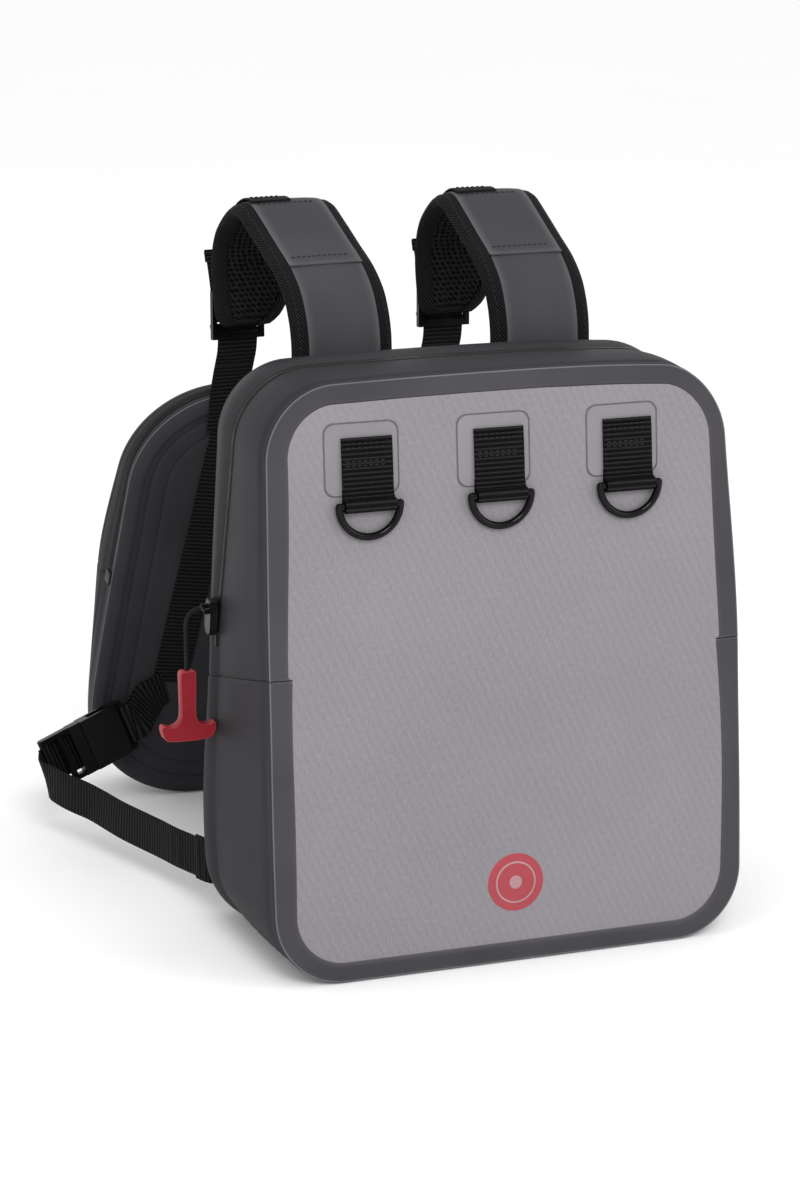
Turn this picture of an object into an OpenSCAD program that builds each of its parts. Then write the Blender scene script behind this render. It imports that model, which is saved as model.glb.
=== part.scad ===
// Tackle backpack set: a welded main pack and a chest pack, joined by two padded
// shoulder straps and two side-release straps, standing as an A-frame.
// Origin: centre of the main pack's base. +Z up, the main pack's front faces -Y.

/* [Main pack] */
// Width of the main pack
pack_w = 286; // [270:2:310]
// Height of the main pack
pack_h = 338; // [334:1:342]
// Depth of the base
base_depth = 140; // [132:1:146]
// How far the front face leans back at the top
front_lean = 22; // [14:1:24]
// How far the back leans forward at the top
back_lean = 16; // [10:1:18]
// Radius of the four face corners
corner_r = 41; // [30:1:50]
// Thickness of the coated fabric shell
wall = 2.4; // [1.6:0.2:3.2]
// Height of the welded seam that the front opens from
seam_z = 176; // [170:1:178]

/* [Front details] */
// Inset of the woven face panel from the edge
border = 11; // [8:0.5:14]
// Thickness of the woven face panel
panel_t = 1; // [0.6:0.1:1.4]
// Width of the webbing tabs
tab_w = 30; // [25:1:30]
// Distance between the webbing tabs
tab_pitch = 78; // [60:1:80]
// Radius of the D-ring wire
ring_wire_r = 2.1; // [1.6:0.1:2.4]
// Radius of the round badge
badge_r = 17; // [12:1:20]

/* [Zips] */
// Width of each half of the zip tape
tape_w = 5; // [4:0.5:6]
// Length of the zip slider
slider_len = 21; // [18:1:24]
// Diameter of the pull cord
cord_d = 3; // [2.5:0.1:3.2]
// Width of the T-shaped pull
pull_w = 33; // [28:1:34]

/* [Shoulder straps] */
// Width of the padded strap
strap_w = 62; // [58:1:66]
// Half the distance between the straps
strap_x = 61.5; // [60:0.5:64]
// Thickness of the padded strap
strap_t = 10; // [7:0.5:11]
// Width of the strap webbing
web_w = 26; // [22:1:28]

/* [Chest pack] */
// Lean of the chest pack towards the main pack, in degrees
chest_tilt = 16; // [15:0.5:17]
// Distance of the chest pack's inner bottom edge from the origin
chest_y = 300; // [298:1:306]
// Half width of the chest pack at its widest
chest_half = 152; // [146:1:154]
// Height of the chest pack
chest_h = 292; // [286:1:294]
// Depth of the chest pack at the bottom
chest_depth = 62; // [56:1:68]
// Depth of the chest pack at the top
chest_top_depth = 24; // [22:1:30]

/* [Hidden] */

$fn = 48;
gap = 0.3;            // clearance between pieces that move apart
half = pack_w / 2;
front_0 = -base_depth / 2;
back_0 = base_depth / 2;
lean = atan(front_lean / pack_h);
over = 40;            // how far the cutting slabs run past the pack
zip_slope = 0.196;    // above its bend, the zip leans forward this much for each mm
zip_bend = seam_z + 19;
zip_low_y = back_0 - 36;
dock_z = seam_z + 6;  // where the zip ends, just above the seam
slider_z = 192;
tape_t = 1;
far = 400;

function front_y(z) = front_0 + front_lean * z / pack_h;
function back_y(z) = back_0 - back_lean * z / pack_h;
function zip_y(z) = zip_low_y - zip_slope * max(0, z - zip_bend);

// Side views of the front face, the zip and the back, moved back by d
function front_line(d) = [for (z = [-over, pack_h + over]) [front_y(z) + d, z]];
function zip_line(d) = [for (z = [-over, zip_bend, pack_h + over]) [zip_y(z) + d, z]];
function back_line(d) = [for (z = [-over, pack_h + over]) [back_y(z) + d, z]];
function flip(v) = [for (i = [len(v) - 1 : -1 : 0]) v[i]];

// ---- general shapes ----

// Rounded rectangle between x = -w and w, y = low and high
module rounded(w, low, high, r) {
  translate([-w + r, low]) square([2 * (w - r), high - low]);
  translate([-w, low + r]) square([2 * w, high - low - 2 * r]);
  for (x = [-w + r, w - r])
    for (y = [low + r, high - r])
      translate([x, y]) circle(r);
}

// A closed outline in Y and Z, carried along X
module along_x(points, width) {
  rotate([90, 0, 90]) linear_extrude(width, center = true) polygon(points);
}

// An outline in X and Z, carried along Y
module along_y(depth) {
  rotate([90, 0, 0]) linear_extrude(depth, center = true) children();
}

function unit(v) = v / norm(v);
function tangent(p, i) = unit(p[min(i + 1, len(p) - 1)] - p[max(i - 1, 0)]);

// Closed skin round rings that all have the same number of points
module skin(rings) {
  n = len(rings[0]);
  last = len(rings) - 1;
  points = [for (ring = rings) for (p = ring) p];
  sides = [for (i = [0 : last - 1]) for (j = [0 : n - 1]) for (half_quad = [0, 1])
    half_quad == 0 ? [i * n + j, i * n + (j + 1) % n, (i + 1) * n + (j + 1) % n]
                   : [i * n + j, (i + 1) * n + (j + 1) % n, (i + 1) * n + j]];
  start = [for (j = [n - 1 : -1 : 0]) j];
  end = [for (j = [0 : n - 1]) last * n + j];
  polyhedron(points, concat([start, end], sides), convexity = 4);
}

// Round cord along a route that lies near a plane of constant Y
module cord(route, d) {
  sides = 8;
  skin([for (i = [0 : len(route) - 1])
    let (t = tangent(route, i), b = unit(cross(t, [0, 1, 0])), a = cross(b, t))
    [for (j = [0 : sides - 1])
      route[i] + d / 2 * (cos(j * 360 / sides) * a + sin(j * 360 / sides) * b)]]);
}

// Flat webbing along a route; across gives the direction of its width at each point
module ribbon(route, across, width, t) {
  skin([for (i = [0 : len(route) - 1])
    let (d = tangent(route, i), w = unit(across[i] - (across[i] * d) * d), n = cross(d, w))
    [route[i] - width / 2 * w - t / 2 * n, route[i] + width / 2 * w - t / 2 * n,
     route[i] + width / 2 * w + t / 2 * n, route[i] - width / 2 * w + t / 2 * n]]);
}

// ---- main pack shells ----

module main_outline(inset) {
  rounded(half - inset, inset, pack_h - inset, corner_r - inset);
}

// Space between two side-view lines
module slab(front, rear) { along_x(concat(rear, flip(front)), far); }

module front_part(inset, extra) {
  intersection() {
    along_y(far) main_outline(inset);
    slab(front_line(inset), zip_line(extra));
  }
}

module above(z) { translate([-far / 2, -far / 2, z]) cube(far); }
module below(z) { translate([-far / 2, -far / 2, z - far]) cube(far); }

module main_tub() {
  color("#4b4a50") difference() {
    intersection() { front_part(0, 0); below(seam_z); }
    front_part(wall, 1);
  }
}

module main_upper_shell() {
  color("#4b4a50") difference() {
    intersection() { front_part(0, -gap); above(seam_z + gap); }
    front_part(wall, 1);
  }
}

module main_back_shell() {
  color("#454449") difference() {
    intersection() {
      along_y(far) main_outline(0);
      slab(zip_line(0), back_line(0));
    }
    intersection() {
      along_y(far) main_outline(wall);
      slab(zip_line(-1), back_line(-wall));
    }
  }
}

// Foam sheet that keeps the back flat, inside the back shell
module main_stiffener() {
  inset = wall + 12;
  color("#2c2c30") intersection() {
    along_y(far) main_outline(inset);
    slab(back_line(-wall - 4), back_line(-wall));
  }
}

// Places things on the front face: y = 0 is the face, z runs up along it
module on_face() {
  translate([0, front_0, 0]) rotate([-lean, 0, 0]) children();
}

module face_panel() {
  intersection() {
    along_y(far) main_outline(border);
    slab(front_line(-panel_t), front_line(0));
  }
}

module main_lower_panel() {
  color("#97929a") intersection() { face_panel(); below(seam_z); }
}

module main_upper_panel() {
  color("#97929a") intersection() { face_panel(); above(seam_z + gap); }
}

// One half of the zip, standing just proud of the side walls
module zip_tape(from, to) {
  color("#1d1d20") intersection() {
    difference() {
      along_y(far) rounded(half + tape_t, -tape_t, pack_h + tape_t, corner_r + tape_t);
      along_y(far) main_outline(0);
    }
    slab(zip_line(from), zip_line(to));
    above(dock_z);
  }
}

module main_zip_rear() { zip_tape(0, tape_w); }
module main_zip_front() { zip_tape(-tape_w - gap, -gap); }

// Moulded zip ends, one on each side wall
module main_zip_docks() {
  dock_h = 8;
  color("#161618") for (side = [-1, 1])
    translate([side * (half + 0.55), zip_y(dock_z) + 4, dock_z - dock_h / 2 - 0.1])
      cube([1.1, 8, dock_h], center = true);
}

// ---- front details ----

tab_top = 309;
ring_z = 272;
patch_t = 0.6;
tab_t = 2.4;
loop_r = ring_wire_r + 1.5;
loop_y = -panel_t - patch_t - loop_r - 0.2;
ring_r = tab_w / 2 + ring_wire_r + 0.8;
tab_mid = -5;

module tab_patches() {
  color("#8f8b92") for (i = [-1 : 1]) on_face()
    translate([tab_mid + i * tab_pitch - 3, -panel_t - patch_t / 2, 0])
      rotate([90, 0, 0]) linear_extrude(patch_t, center = true)
        rounded(22, 277, 318, 5);
}

// Folded webbing with a loop at the bottom for its ring
module tab(i) {
  color("#1b1b1d") on_face() translate([tab_mid + i * tab_pitch, 0, 0]) {
    difference() {
      union() {
        translate([-tab_w / 2, -panel_t - patch_t - tab_t, ring_z])
          cube([tab_w, tab_t, tab_top - ring_z]);
        translate([0, loop_y, ring_z]) rotate([0, 90, 0]) cylinder(tab_w, r = loop_r, center = true);
      }
      translate([0, loop_y, ring_z]) rotate([0, 90, 0])
        cylinder(far, r = ring_wire_r + 0.1, center = true);
    }
  }
}

module tab_left() { tab(-1); }
module tab_centre() { tab(0); }
module tab_right() { tab(1); }

// D-shaped ring hanging from its straight bar
module d_ring(i) {
  color("#101012") on_face() translate([tab_mid + i * tab_pitch, loop_y, ring_z]) rotate([lean, 0, 0]) {
    rotate([0, 90, 0]) cylinder(2 * ring_r, r = ring_wire_r, center = true);
    for (side = [-1, 1]) translate([side * ring_r, 0, 0]) sphere(ring_wire_r);
    rotate([90, 180, 0]) rotate_extrude(angle = 180) translate([ring_r, 0]) circle(ring_wire_r);
  }
}

module d_ring_left() { d_ring(-1); }
module d_ring_centre() { d_ring(0); }
module d_ring_right() { d_ring(1); }

module badge() {
  badge_z = 47;
  color("#b4323a") on_face() translate([1, -panel_t, badge_z])
    rotate([90, 0, 0]) cylinder(0.5, r = badge_r);
}

// ---- zip sliders and pulls ----

// Slider on a wall that faces +X; the origin is on the wall, the zip runs along Z
module slider(lift) {
  thick = 4.6;
  bail_x = lift + thick + 3;
  color("#141416") {
    translate([lift, 0, 0]) rotate([0, 90, 0]) linear_extrude(thick) {
      square([slider_len - 8, 10], center = true);
      for (end = [-1, 1]) translate([end * (slider_len / 2 - 4), 0]) scale_round(4, 5);
    }
    for (side = [-1, 1]) translate([(lift + thick + bail_x) / 2 - 0.1, side * 3.6, 5])
      cube([bail_x - lift - thick + 0.4, 1.6, 2.6], center = true);
    translate([bail_x, 0, 5]) rotate([90, 0, 0]) cylinder(8, r = 0.9, center = true);
  }
}

// Rounded end of the slider body
module scale_round(rx, ry) {
  square([2 * rx - 3, 2 * ry - 1], center = true);
  square([2 * rx, 2 * ry - 4], center = true);
}

// T-shaped pull; its origin is the top of the stem, it hangs down
module pull_handle() {
  stem_w = 12;
  bar_h = 12;
  drop = 41;
  t = 7;
  color("#b3343c") rotate([90, 0, 0]) linear_extrude(t, center = true) {
    translate([-stem_w / 2, -drop + bar_h - 1]) square([stem_w, drop - bar_h + 1]);
    translate([0, -drop]) polygon([
      [-pull_w / 2, 4], [-pull_w / 2 + 4, 0], [pull_w / 2 - 4, 0], [pull_w / 2, 4],
      [pull_w / 2, 12.5], [pull_w / 2 - 3, 13.5], [pull_w / 2 - 6, 10.5], [6, 12],
      [-6, 12], [-pull_w / 2 + 6, 10.5], [-pull_w / 2 + 3, 13.5], [-pull_w / 2, 12.5]]);
  }
}

module main_slider() {
  translate([-half, zip_low_y, slider_z]) rotate([atan(zip_slope), 0, 0]) mirror([1, 0, 0])
    slider(tape_t + gap);
}

// The cord leaves the slider sideways, bends down and holds the pull
MAIN_CORD = [[-153.4, 33, 197], [-155.5, 33, 197], [-158, 33, 196], [-160.4, 33, 193.6], [-161.7, 33, 190.5],
             [-162, 33, 187], [-162, 33, 181], [-162, 33, 175], [-162, 33, 168], [-162, 33, 161]];
CHEST_CORD = [[151.4, 257, 191.5], [154, 257, 191.5], [159, 257, 191.3], [163, 257, 189.6], [166, 257, 186.8],
              [167.6, 257, 183], [168, 257, 178], [168, 257, 172], [168, 257, 166], [168, 257, 159]];

module main_pull_cord() { color("#17171a") cord(MAIN_CORD, cord_d); }
module main_pull_handle() { translate(MAIN_CORD[len(MAIN_CORD) - 1]) pull_handle(); }
module chest_pull_cord() { color("#17171a") cord(CHEST_CORD, cord_d); }
module chest_pull_handle() { translate(CHEST_CORD[len(CHEST_CORD) - 1]) pull_handle(); }

// ---- shoulder straps ----

// Outer face of the arched strap, in Y and Z, from its base to its tip
ARCH = [[56, 332], [57, 345], [61, 358], [69, 371], [84, 383], [104, 393], [126, 404], [142, 411],
        [156, 411], [170, 404], [182, 394], [189, 381], [191, 365], [188, 347], [183, 332]];
apex = 7;
cover_from = 1;
lock_at = 12;

function arch_normal(i) = let (t = tangent(ARCH, i)) [-t[1], t[0]];
function arch_offset(from, to, d) = [for (i = [from : to]) ARCH[i] + d * arch_normal(i)];

strap_mid = 5.5;
strap_yaw = [4, 0];   // the left strap turns outwards a little
strap_out = [2, 0];   // and stands clear of the pack by this much
function base_x(side) = strap_mid + side * strap_x;

// A strap's own frame: x = 0 is its middle, y and z as in its side view
module on_strap(side) {
  i = (side + 1) / 2;
  translate([base_x(side), ARCH[0][0] + strap_out[i], 0]) rotate([0, 0, strap_yaw[i]])
    translate([0, -ARCH[0][0], 0]) children();
}

// Layer of the strap between two heights over its outer face
module arch_layer(x, width, from, to, low, high) {
  translate([x, 0, 0])
    along_x(concat(arch_offset(from, to, low), flip(arch_offset(from, to, high))), width);
}

module strap_pad(side) {
  color("#1c1c1f") on_strap(side) arch_layer(0, strap_w, 0, len(ARCH) - 1, -strap_t, 0);
}
module strap_cover(side) {
  color("#56545b") on_strap(side) arch_layer(0, strap_w - 20, cover_from, apex, 0, 1.2);
}
module strap_pad_left() { strap_pad(-1); }
module strap_pad_right() { strap_pad(1); }
module strap_cover_left() { strap_cover(-1); }
module strap_cover_right() { strap_cover(1); }

// Sewn-on panel that carries the strap ends, on the back near the top
module strap_anchor_panel() {
  panel_low = 262;
  panel_high = 331;
  color("#3c3b40") {
    intersection() {
      slab(back_line(0.1), back_line(1.9));
      translate([strap_mid - 106, 0, panel_low]) cube([212, far, panel_high - panel_low]);
    }
    for (side = [-1, 1]) intersection() {
      slab(back_line(1.8), back_line(10));
      translate([base_x(side) - strap_w / 2, 0, panel_high - 42]) cube([strap_w, far, 42]);
    }
  }
}

lock_off = [-10, -8]; // the webbing runs left of the middle of each strap
lock_bar_y = 199;
lock_bar_z = 350;
lock_bar_r = 2;

// Webbing sewn down the outer face, ending in the loop that holds the ladder lock
module strap_webbing(side) {
  x = lock_off[(side + 1) / 2];
  color("#18181a") on_strap(side) difference() {
    union() {
      arch_layer(x, web_w, apex, lock_at, 0.1, 1.7);
      translate([x, lock_bar_y, lock_bar_z]) rotate([0, 90, 0]) cylinder(web_w, r = 3.6, center = true);
      along_x_at(x, [[192, 366], [194.5, 366], [202, 352], [197, 350]], web_w);
    }
    translate([x, lock_bar_y, lock_bar_z]) rotate([0, 90, 0])
      cylinder(far, r = lock_bar_r + 0.1, center = true);
  }
}
module along_x_at(x, points, width) { translate([x, 0, 0]) along_x(points, width); }
module strap_webbing_left() { strap_webbing(-1); }
module strap_webbing_right() { strap_webbing(1); }

// Ladder lock: a frame with a round top bar, two cross bars and a lifting lip
module ladder_lock(side) {
  w = web_w + 8;
  low = 322;
  color("#131315") on_strap(side) translate([lock_off[(side + 1) / 2], lock_bar_y, 0]) {
    translate([0, 0, lock_bar_z]) rotate([0, 90, 0]) cylinder(w - 1, r = lock_bar_r, center = true);
    for (end = [-1, 1]) translate([end * (w / 2 - 1.5) - 1.5, -2, low]) cube([3, 4, lock_bar_z - low + 2]);
    for (z = [low, low + 11]) translate([0, 0, z + 2]) cube([w, 4, 4], center = true);
    translate([-w / 2 + 2, 1.8, low + 1]) rotate([-32, 0, 0]) cube([w - 4, 2.4, 9]);
  }
}
module ladder_lock_left() { ladder_lock(-1); }
module ladder_lock_right() { ladder_lock(1); }

// Free end of the webbing that comes out of the ladder lock
module strap_tail(side) {
  x = lock_off[(side + 1) / 2];
  color("#18181a") on_strap(side) ribbon([[x, 206, 338], [x, 209, 345], [x, 211, 354], [x, 214, 364], [x, 218, 374]],
    [for (i = [0 : 4]) [1, 0, 0]], web_w, 1.5);
}
module strap_tail_left() { strap_tail(-1); }
module strap_tail_right() { strap_tail(1); }

// Webbing from the ladder lock down to the chest pack
module hanger_webbing(side) {
  x = lock_off[(side + 1) / 2];
  color("#18181a") on_strap(side)
    ribbon([[x, 199, 320.5], [x, 201, 314], [x, 205, 306], [x, 209, 298], [x, 213, 288], [x, 218, 270]],
      [for (i = [0 : 5]) [1, 0, 0]], web_w, 1.5);
}
module hanger_webbing_left() { hanger_webbing(-1); }
module hanger_webbing_right() { hanger_webbing(1); }

// ---- chest pack, in its own frame: y = 0 is the inner face, z runs up along it ----

module on_chest() {
  translate([0, chest_y, 0]) rotate([chest_tilt, 0, 0]) children();
}

low_r = 77;
top_r = 64;
top_half = 136;
chest_seam = 165;
chest_zip = 12;
chest_draft = 0.4;    // the outer half narrows this much a side for each mm of depth
low_c = [chest_half - low_r, low_r];
top_c = [top_half - top_r, chest_h - top_r];
span = top_c - low_c;
flank = asin((low_r - top_r) / norm(span)) - atan2(span[0], span[1]);
flank_n = [cos(flank), sin(flank)];

// Half the outline's width where the straight flank is at height z
function flank_x(z) = low_c[0] + (low_r - (z - low_c[1]) * flank_n[1]) / flank_n[0];

module chest_outline(inset) {
  a = low_c + (low_r - inset) * flank_n;
  b = top_c + (top_r - inset) * flank_n;
  bottom = [low_c[0], inset];
  top = [top_c[0], chest_h - inset];
  polygon([bottom, a, b, top, [-top[0], top[1]], [-b[0], b[1]], [-a[0], a[1]], [-bottom[0], bottom[1]]]);
  for (side = [-1, 1]) {
    translate([side * low_c[0], low_c[1]]) circle(low_r - inset);
    translate([side * top_c[0], top_c[1]]) circle(top_r - inset);
  }
}

function chest_front(z) = chest_depth - (chest_depth - chest_top_depth) * z / chest_h;

// Space between local depth a and the front face moved by b
module chest_slab(a, b) {
  over = 40;
  along_x([[a, -over], [chest_front(-over) + b, -over], [chest_front(chest_h + over) + b, chest_h + over],
           [a, chest_h + over]], far);
}

// Narrowing space that gives the outer half its drafted sides
module chest_draft_space(inset) {
  function half_at(y) = chest_half + 1 - chest_draft * (y - chest_zip) - inset * norm([1, chest_draft]);
  deep = chest_depth + 20;
  translate([0, 0, -far / 2]) linear_extrude(2 * far)
    polygon([[-half_at(-1), -1], [half_at(-1), -1], [half_at(deep), deep], [-half_at(deep), deep]]);
}

module chest_part(inset, back, front) {
  intersection() {
    along_y(far) chest_outline(inset);
    chest_slab(back, front);
    chest_draft_space(inset);
  }
}

module chest_tub() {
  color("#444349") on_chest() difference() {
    intersection() { chest_part(0, chest_zip, 0); below(chest_seam); }
    chest_part(wall, chest_zip - 1, -wall);
  }
}

module chest_upper_shell() {
  color("#444349") on_chest() difference() {
    intersection() { chest_part(0, chest_zip + gap, 0); above(chest_seam + gap); }
    chest_part(wall, chest_zip - 1, -wall);
  }
}

module chest_back_shell() {
  color("#39383e") on_chest() difference() {
    intersection() {
      along_y(far) chest_outline(0);
      translate([-far / 2, 0, -far / 2]) cube([far, chest_zip, 2 * far]);
    }
    intersection() {
      along_y(far) chest_outline(wall);
      translate([-far / 2, wall, -far / 2]) cube([far, chest_zip, 2 * far]);
    }
  }
}

module chest_stiffener() {
  color("#2c2c30") on_chest() intersection() {
    along_y(far) chest_outline(wall + 12);
    translate([-far / 2, wall, 0]) cube([far, 4, far]);
  }
}

module chest_face() {
  intersection() {
    along_y(far) chest_outline(border);
    difference() { chest_slab(0, panel_t); chest_slab(-1, 0); }
    chest_draft_space(border);
  }
}
module chest_lower_panel() { color("#8e8991") on_chest() intersection() { chest_face(); below(chest_seam); } }
module chest_upper_panel() {
  color("#8e8991") on_chest() intersection() { chest_face(); above(chest_seam + gap); }
}

module chest_tape(from) {
  color("#1d1d20") on_chest() intersection() {
    difference() {
      along_y(far) chest_outline(-tape_t);
      along_y(far) chest_outline(0);
    }
    translate([-far / 2, from, chest_seam + 6]) cube([far, tape_w, far]);
  }
}
module chest_zip_rear() { chest_tape(chest_zip - tape_w); }
module chest_zip_front() { chest_tape(chest_zip + gap); }

module chest_zip_docks() {
  dock_mid = chest_seam + 1.5;
  color("#161618") on_chest() for (side = [-1, 1])
    translate([side * (flank_x(dock_mid) + 1.4), chest_zip - 4, dock_mid]) rotate([0, -side * flank, 0])
      cube([1.8, 8, 8], center = true);
}

chest_slider_z = 190;
module chest_slider() {
  on_chest() translate([flank_x(chest_slider_z), chest_zip, chest_slider_z]) rotate([0, -flank, 0])
    slider(tape_t + 1.4);
}

// Two harness webbings sewn down the inner face
strip_t = 1.5;
strip_x = [-88, 72];
module chest_strips() {
  color("#18181a") on_chest() for (side = [-1, 1])
    translate([strip_x[(side + 1) / 2], -strip_t / 2 - 0.1, 181]) rotate([0, -side * 8.5, 0])
      cube([20, strip_t, 184], center = true);
}

// ---- side-release straps ----

// Places one buckle: x runs from the socket's bar to the plug's end, z is its width
BUCKLE_AT = [-133, 265, 63];
BUCKLE_TURN = [10, 19, 191];
module on_buckle(side) {
  if (side < 0) translate(BUCKLE_AT) rotate(BUCKLE_TURN) children();
  else mirror([1, 0, 0]) translate(BUCKLE_AT) rotate(BUCKLE_TURN) children();
}

buckle_w = 34;
buckle_t = 11;
mouth_x = 31;

// Socket: a bar for its webbing and a hollow body with open side windows
module socket(side) {
  inner_w = 30.8;
  color("#121214") on_buckle(side) difference() {
    union() {
      translate([5.5, -buckle_t / 2, -buckle_w / 2]) cube([mouth_x - 5.5, buckle_t, buckle_w]);
      cylinder(buckle_w - 2, r = 2.2, center = true);
      for (end = [-1, 1]) translate([0, -2.2, end * (buckle_w / 2 - 1.9) - 1.9]) cube([7, 4.4, 3.8]);
    }
    translate([8, -3.6, -inner_w / 2]) cube([far, 7.2, inner_w]);
    translate([10, -3.6, -far / 2]) cube([14, 7.2, far]);
  }
}
module buckle_socket_left() { socket(-1); }
module buckle_socket_right() { socket(1); }

// Plug: shoulder, centre tongue and a ladder of bars for the webbing
module plug(side) {
  rail = 3;
  end_x = 61;
  color("#121214") on_buckle(side) {
    translate([mouth_x + gap, -4, -buckle_w / 2]) cube([8, 8, buckle_w]);
    translate([14, -3, -3]) cube([mouth_x - 13, 6, 6]);
    for (end = [-1, 1]) translate([mouth_x + 8, -3, end * (buckle_w / 2 - rail / 2) - rail / 2])
      cube([end_x - mouth_x - 8 - 2, 6, rail]);
    for (x = [mouth_x + 15, end_x - 2.4]) translate([x, 0, 0]) cylinder(buckle_w, r = 2.2, center = true);
  }
}
module buckle_plug_left() { plug(-1); }
module buckle_plug_right() { plug(1); }

// Springy arm of the plug, with its thumb pad in the socket's window
module arm(side, up) {
  color("#121214") on_buckle(side) mirror([0, 0, up < 0 ? 1 : 0]) {
    translate([12, -2.8, 9]) cube([mouth_x - 12.4, 5.6, 4]);
    translate([12, -2.8, 12]) cube([10, 5.6, 3]);
  }
}
module buckle_arm_upper_left() { arm(-1, 1); }
module buckle_arm_lower_left() { arm(-1, -1); }
module buckle_arm_upper_right() { arm(1, 1); }
module buckle_arm_lower_right() { arm(1, -1); }

// Short webbing from the chest pack's harness to the socket's bar
module chest_tab(side) {
  path = [[-106, 273.6, 80], [-113, 271.6, 76.5], [-120, 269.2, 72], [-127.5, 266.5, 67]];
  across = [[0.15, 0.28, -1], [0.2, 0.24, -1], [0.25, 0.18, -1], [0.3, 0.1, -1]];
  color("#18181a") mirrored(side) ribbon(path, across, 25, 1.6);
}
module mirrored(side) {
  if (side < 0) children();
  else mirror([1, 0, 0]) children();
}
module chest_tab_left() { chest_tab(-1); }
module chest_tab_right() { chest_tab(1); }

// Side webbing, from the plug's bars round to the main pack's lower rear corner
SIDE_ROUTE = [[-179, 252, 47], [-186, 250, 44], [-192, 246, 42], [-194, 239, 40.5], [-192, 230, 39], [-186, 216, 37],
              [-178, 199, 35], [-170, 180, 33], [-163, 160, 31], [-157, 140, 30], [-151, 120, 30], [-146, 103, 30],
              [-142, 88, 30]];
SIDE_ACROSS = [[0.32, -0.11, -0.94], [0.32, -0.11, -0.94], [0.3, -0.1, -0.95], [0.2, -0.08, -0.98],
               [0.12, -0.05, -1], [0.08, 0, -1], [0.05, 0, -1], [0, 0, -1], [0, 0, -1], [0, 0, -1],
               [0, 0, -1], [0, 0, -1], [0, 0, -1]];
module side_webbing(side) {
  color("#18181a") mirrored(side) ribbon(SIDE_ROUTE, SIDE_ACROSS, 25, 1.5);
}
module side_webbing_left() { side_webbing(-1); }
module side_webbing_right() { side_webbing(1); }

// Doubled webbing tab welded under a patch at each lower rear corner
module side_tab(side) {
  color("#232326") mirrored(side) {
    ribbon([[-141.4, 86.5, 30], [-138, 78, 30], [-134, 70.9, 30], [-122, 70.8, 30], [-108, 70.8, 30]],
      [for (i = [0 : 4]) [0, 0, -1]], 27, 2);
  }
}
module side_tab_left() { side_tab(-1); }
module side_tab_right() { side_tab(1); }

main_tub();
main_back_shell();
main_lower_panel();
main_stiffener();
main_zip_rear();
main_zip_docks();
strap_anchor_panel();
side_tab_left();
side_tab_right();
badge();
main_upper_shell();
main_upper_panel();
main_zip_front();
tab_patches();
tab_left();
tab_centre();
tab_right();
d_ring_left();
d_ring_centre();
d_ring_right();
main_slider();
main_pull_cord();
main_pull_handle();
strap_pad_left();
strap_pad_right();
strap_cover_left();
strap_cover_right();
strap_webbing_left();
strap_webbing_right();
ladder_lock_left();
ladder_lock_right();
strap_tail_left();
strap_tail_right();
hanger_webbing_left();
hanger_webbing_right();
chest_tub();
chest_back_shell();
chest_lower_panel();
chest_stiffener();
chest_zip_rear();
chest_zip_docks();
chest_strips();
chest_upper_shell();
chest_upper_panel();
chest_zip_front();
chest_slider();
chest_pull_cord();
chest_pull_handle();
chest_tab_left();
chest_tab_right();
buckle_socket_left();
buckle_socket_right();
buckle_plug_left();
buckle_plug_right();
buckle_arm_upper_left();
buckle_arm_lower_left();
buckle_arm_upper_right();
buckle_arm_lower_right();
side_webbing_left();
side_webbing_right();
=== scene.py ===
import bmesh
import bpy
import math
import numpy as np
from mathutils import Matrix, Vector


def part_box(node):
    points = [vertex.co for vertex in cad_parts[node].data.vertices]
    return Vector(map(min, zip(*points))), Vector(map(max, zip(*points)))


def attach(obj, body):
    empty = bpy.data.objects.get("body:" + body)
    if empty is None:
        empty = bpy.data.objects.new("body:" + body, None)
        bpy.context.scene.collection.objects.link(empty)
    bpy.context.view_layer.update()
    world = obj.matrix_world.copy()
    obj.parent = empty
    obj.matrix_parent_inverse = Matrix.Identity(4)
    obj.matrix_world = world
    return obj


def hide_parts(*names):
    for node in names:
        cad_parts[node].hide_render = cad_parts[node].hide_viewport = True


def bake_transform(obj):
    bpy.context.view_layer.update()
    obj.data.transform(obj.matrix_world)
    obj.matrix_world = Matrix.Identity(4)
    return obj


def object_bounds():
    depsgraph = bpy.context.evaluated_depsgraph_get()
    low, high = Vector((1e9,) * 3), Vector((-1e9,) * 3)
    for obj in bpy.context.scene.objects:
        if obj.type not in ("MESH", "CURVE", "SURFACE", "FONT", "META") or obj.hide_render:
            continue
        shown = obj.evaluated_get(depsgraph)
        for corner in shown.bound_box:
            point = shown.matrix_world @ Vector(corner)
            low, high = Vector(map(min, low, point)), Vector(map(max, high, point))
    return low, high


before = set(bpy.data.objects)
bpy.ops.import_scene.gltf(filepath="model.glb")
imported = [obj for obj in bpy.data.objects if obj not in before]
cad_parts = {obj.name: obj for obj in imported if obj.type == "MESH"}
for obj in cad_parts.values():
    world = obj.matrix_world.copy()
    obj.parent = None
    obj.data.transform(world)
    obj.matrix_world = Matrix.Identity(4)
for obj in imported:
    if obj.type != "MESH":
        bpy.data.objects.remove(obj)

MM = 0.001
WEAVE_PITCH = 0.00135
BLACK, WHITE = (0, 0, 0), (1, 1, 1)
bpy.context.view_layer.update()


# ---------- materials ----------

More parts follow.
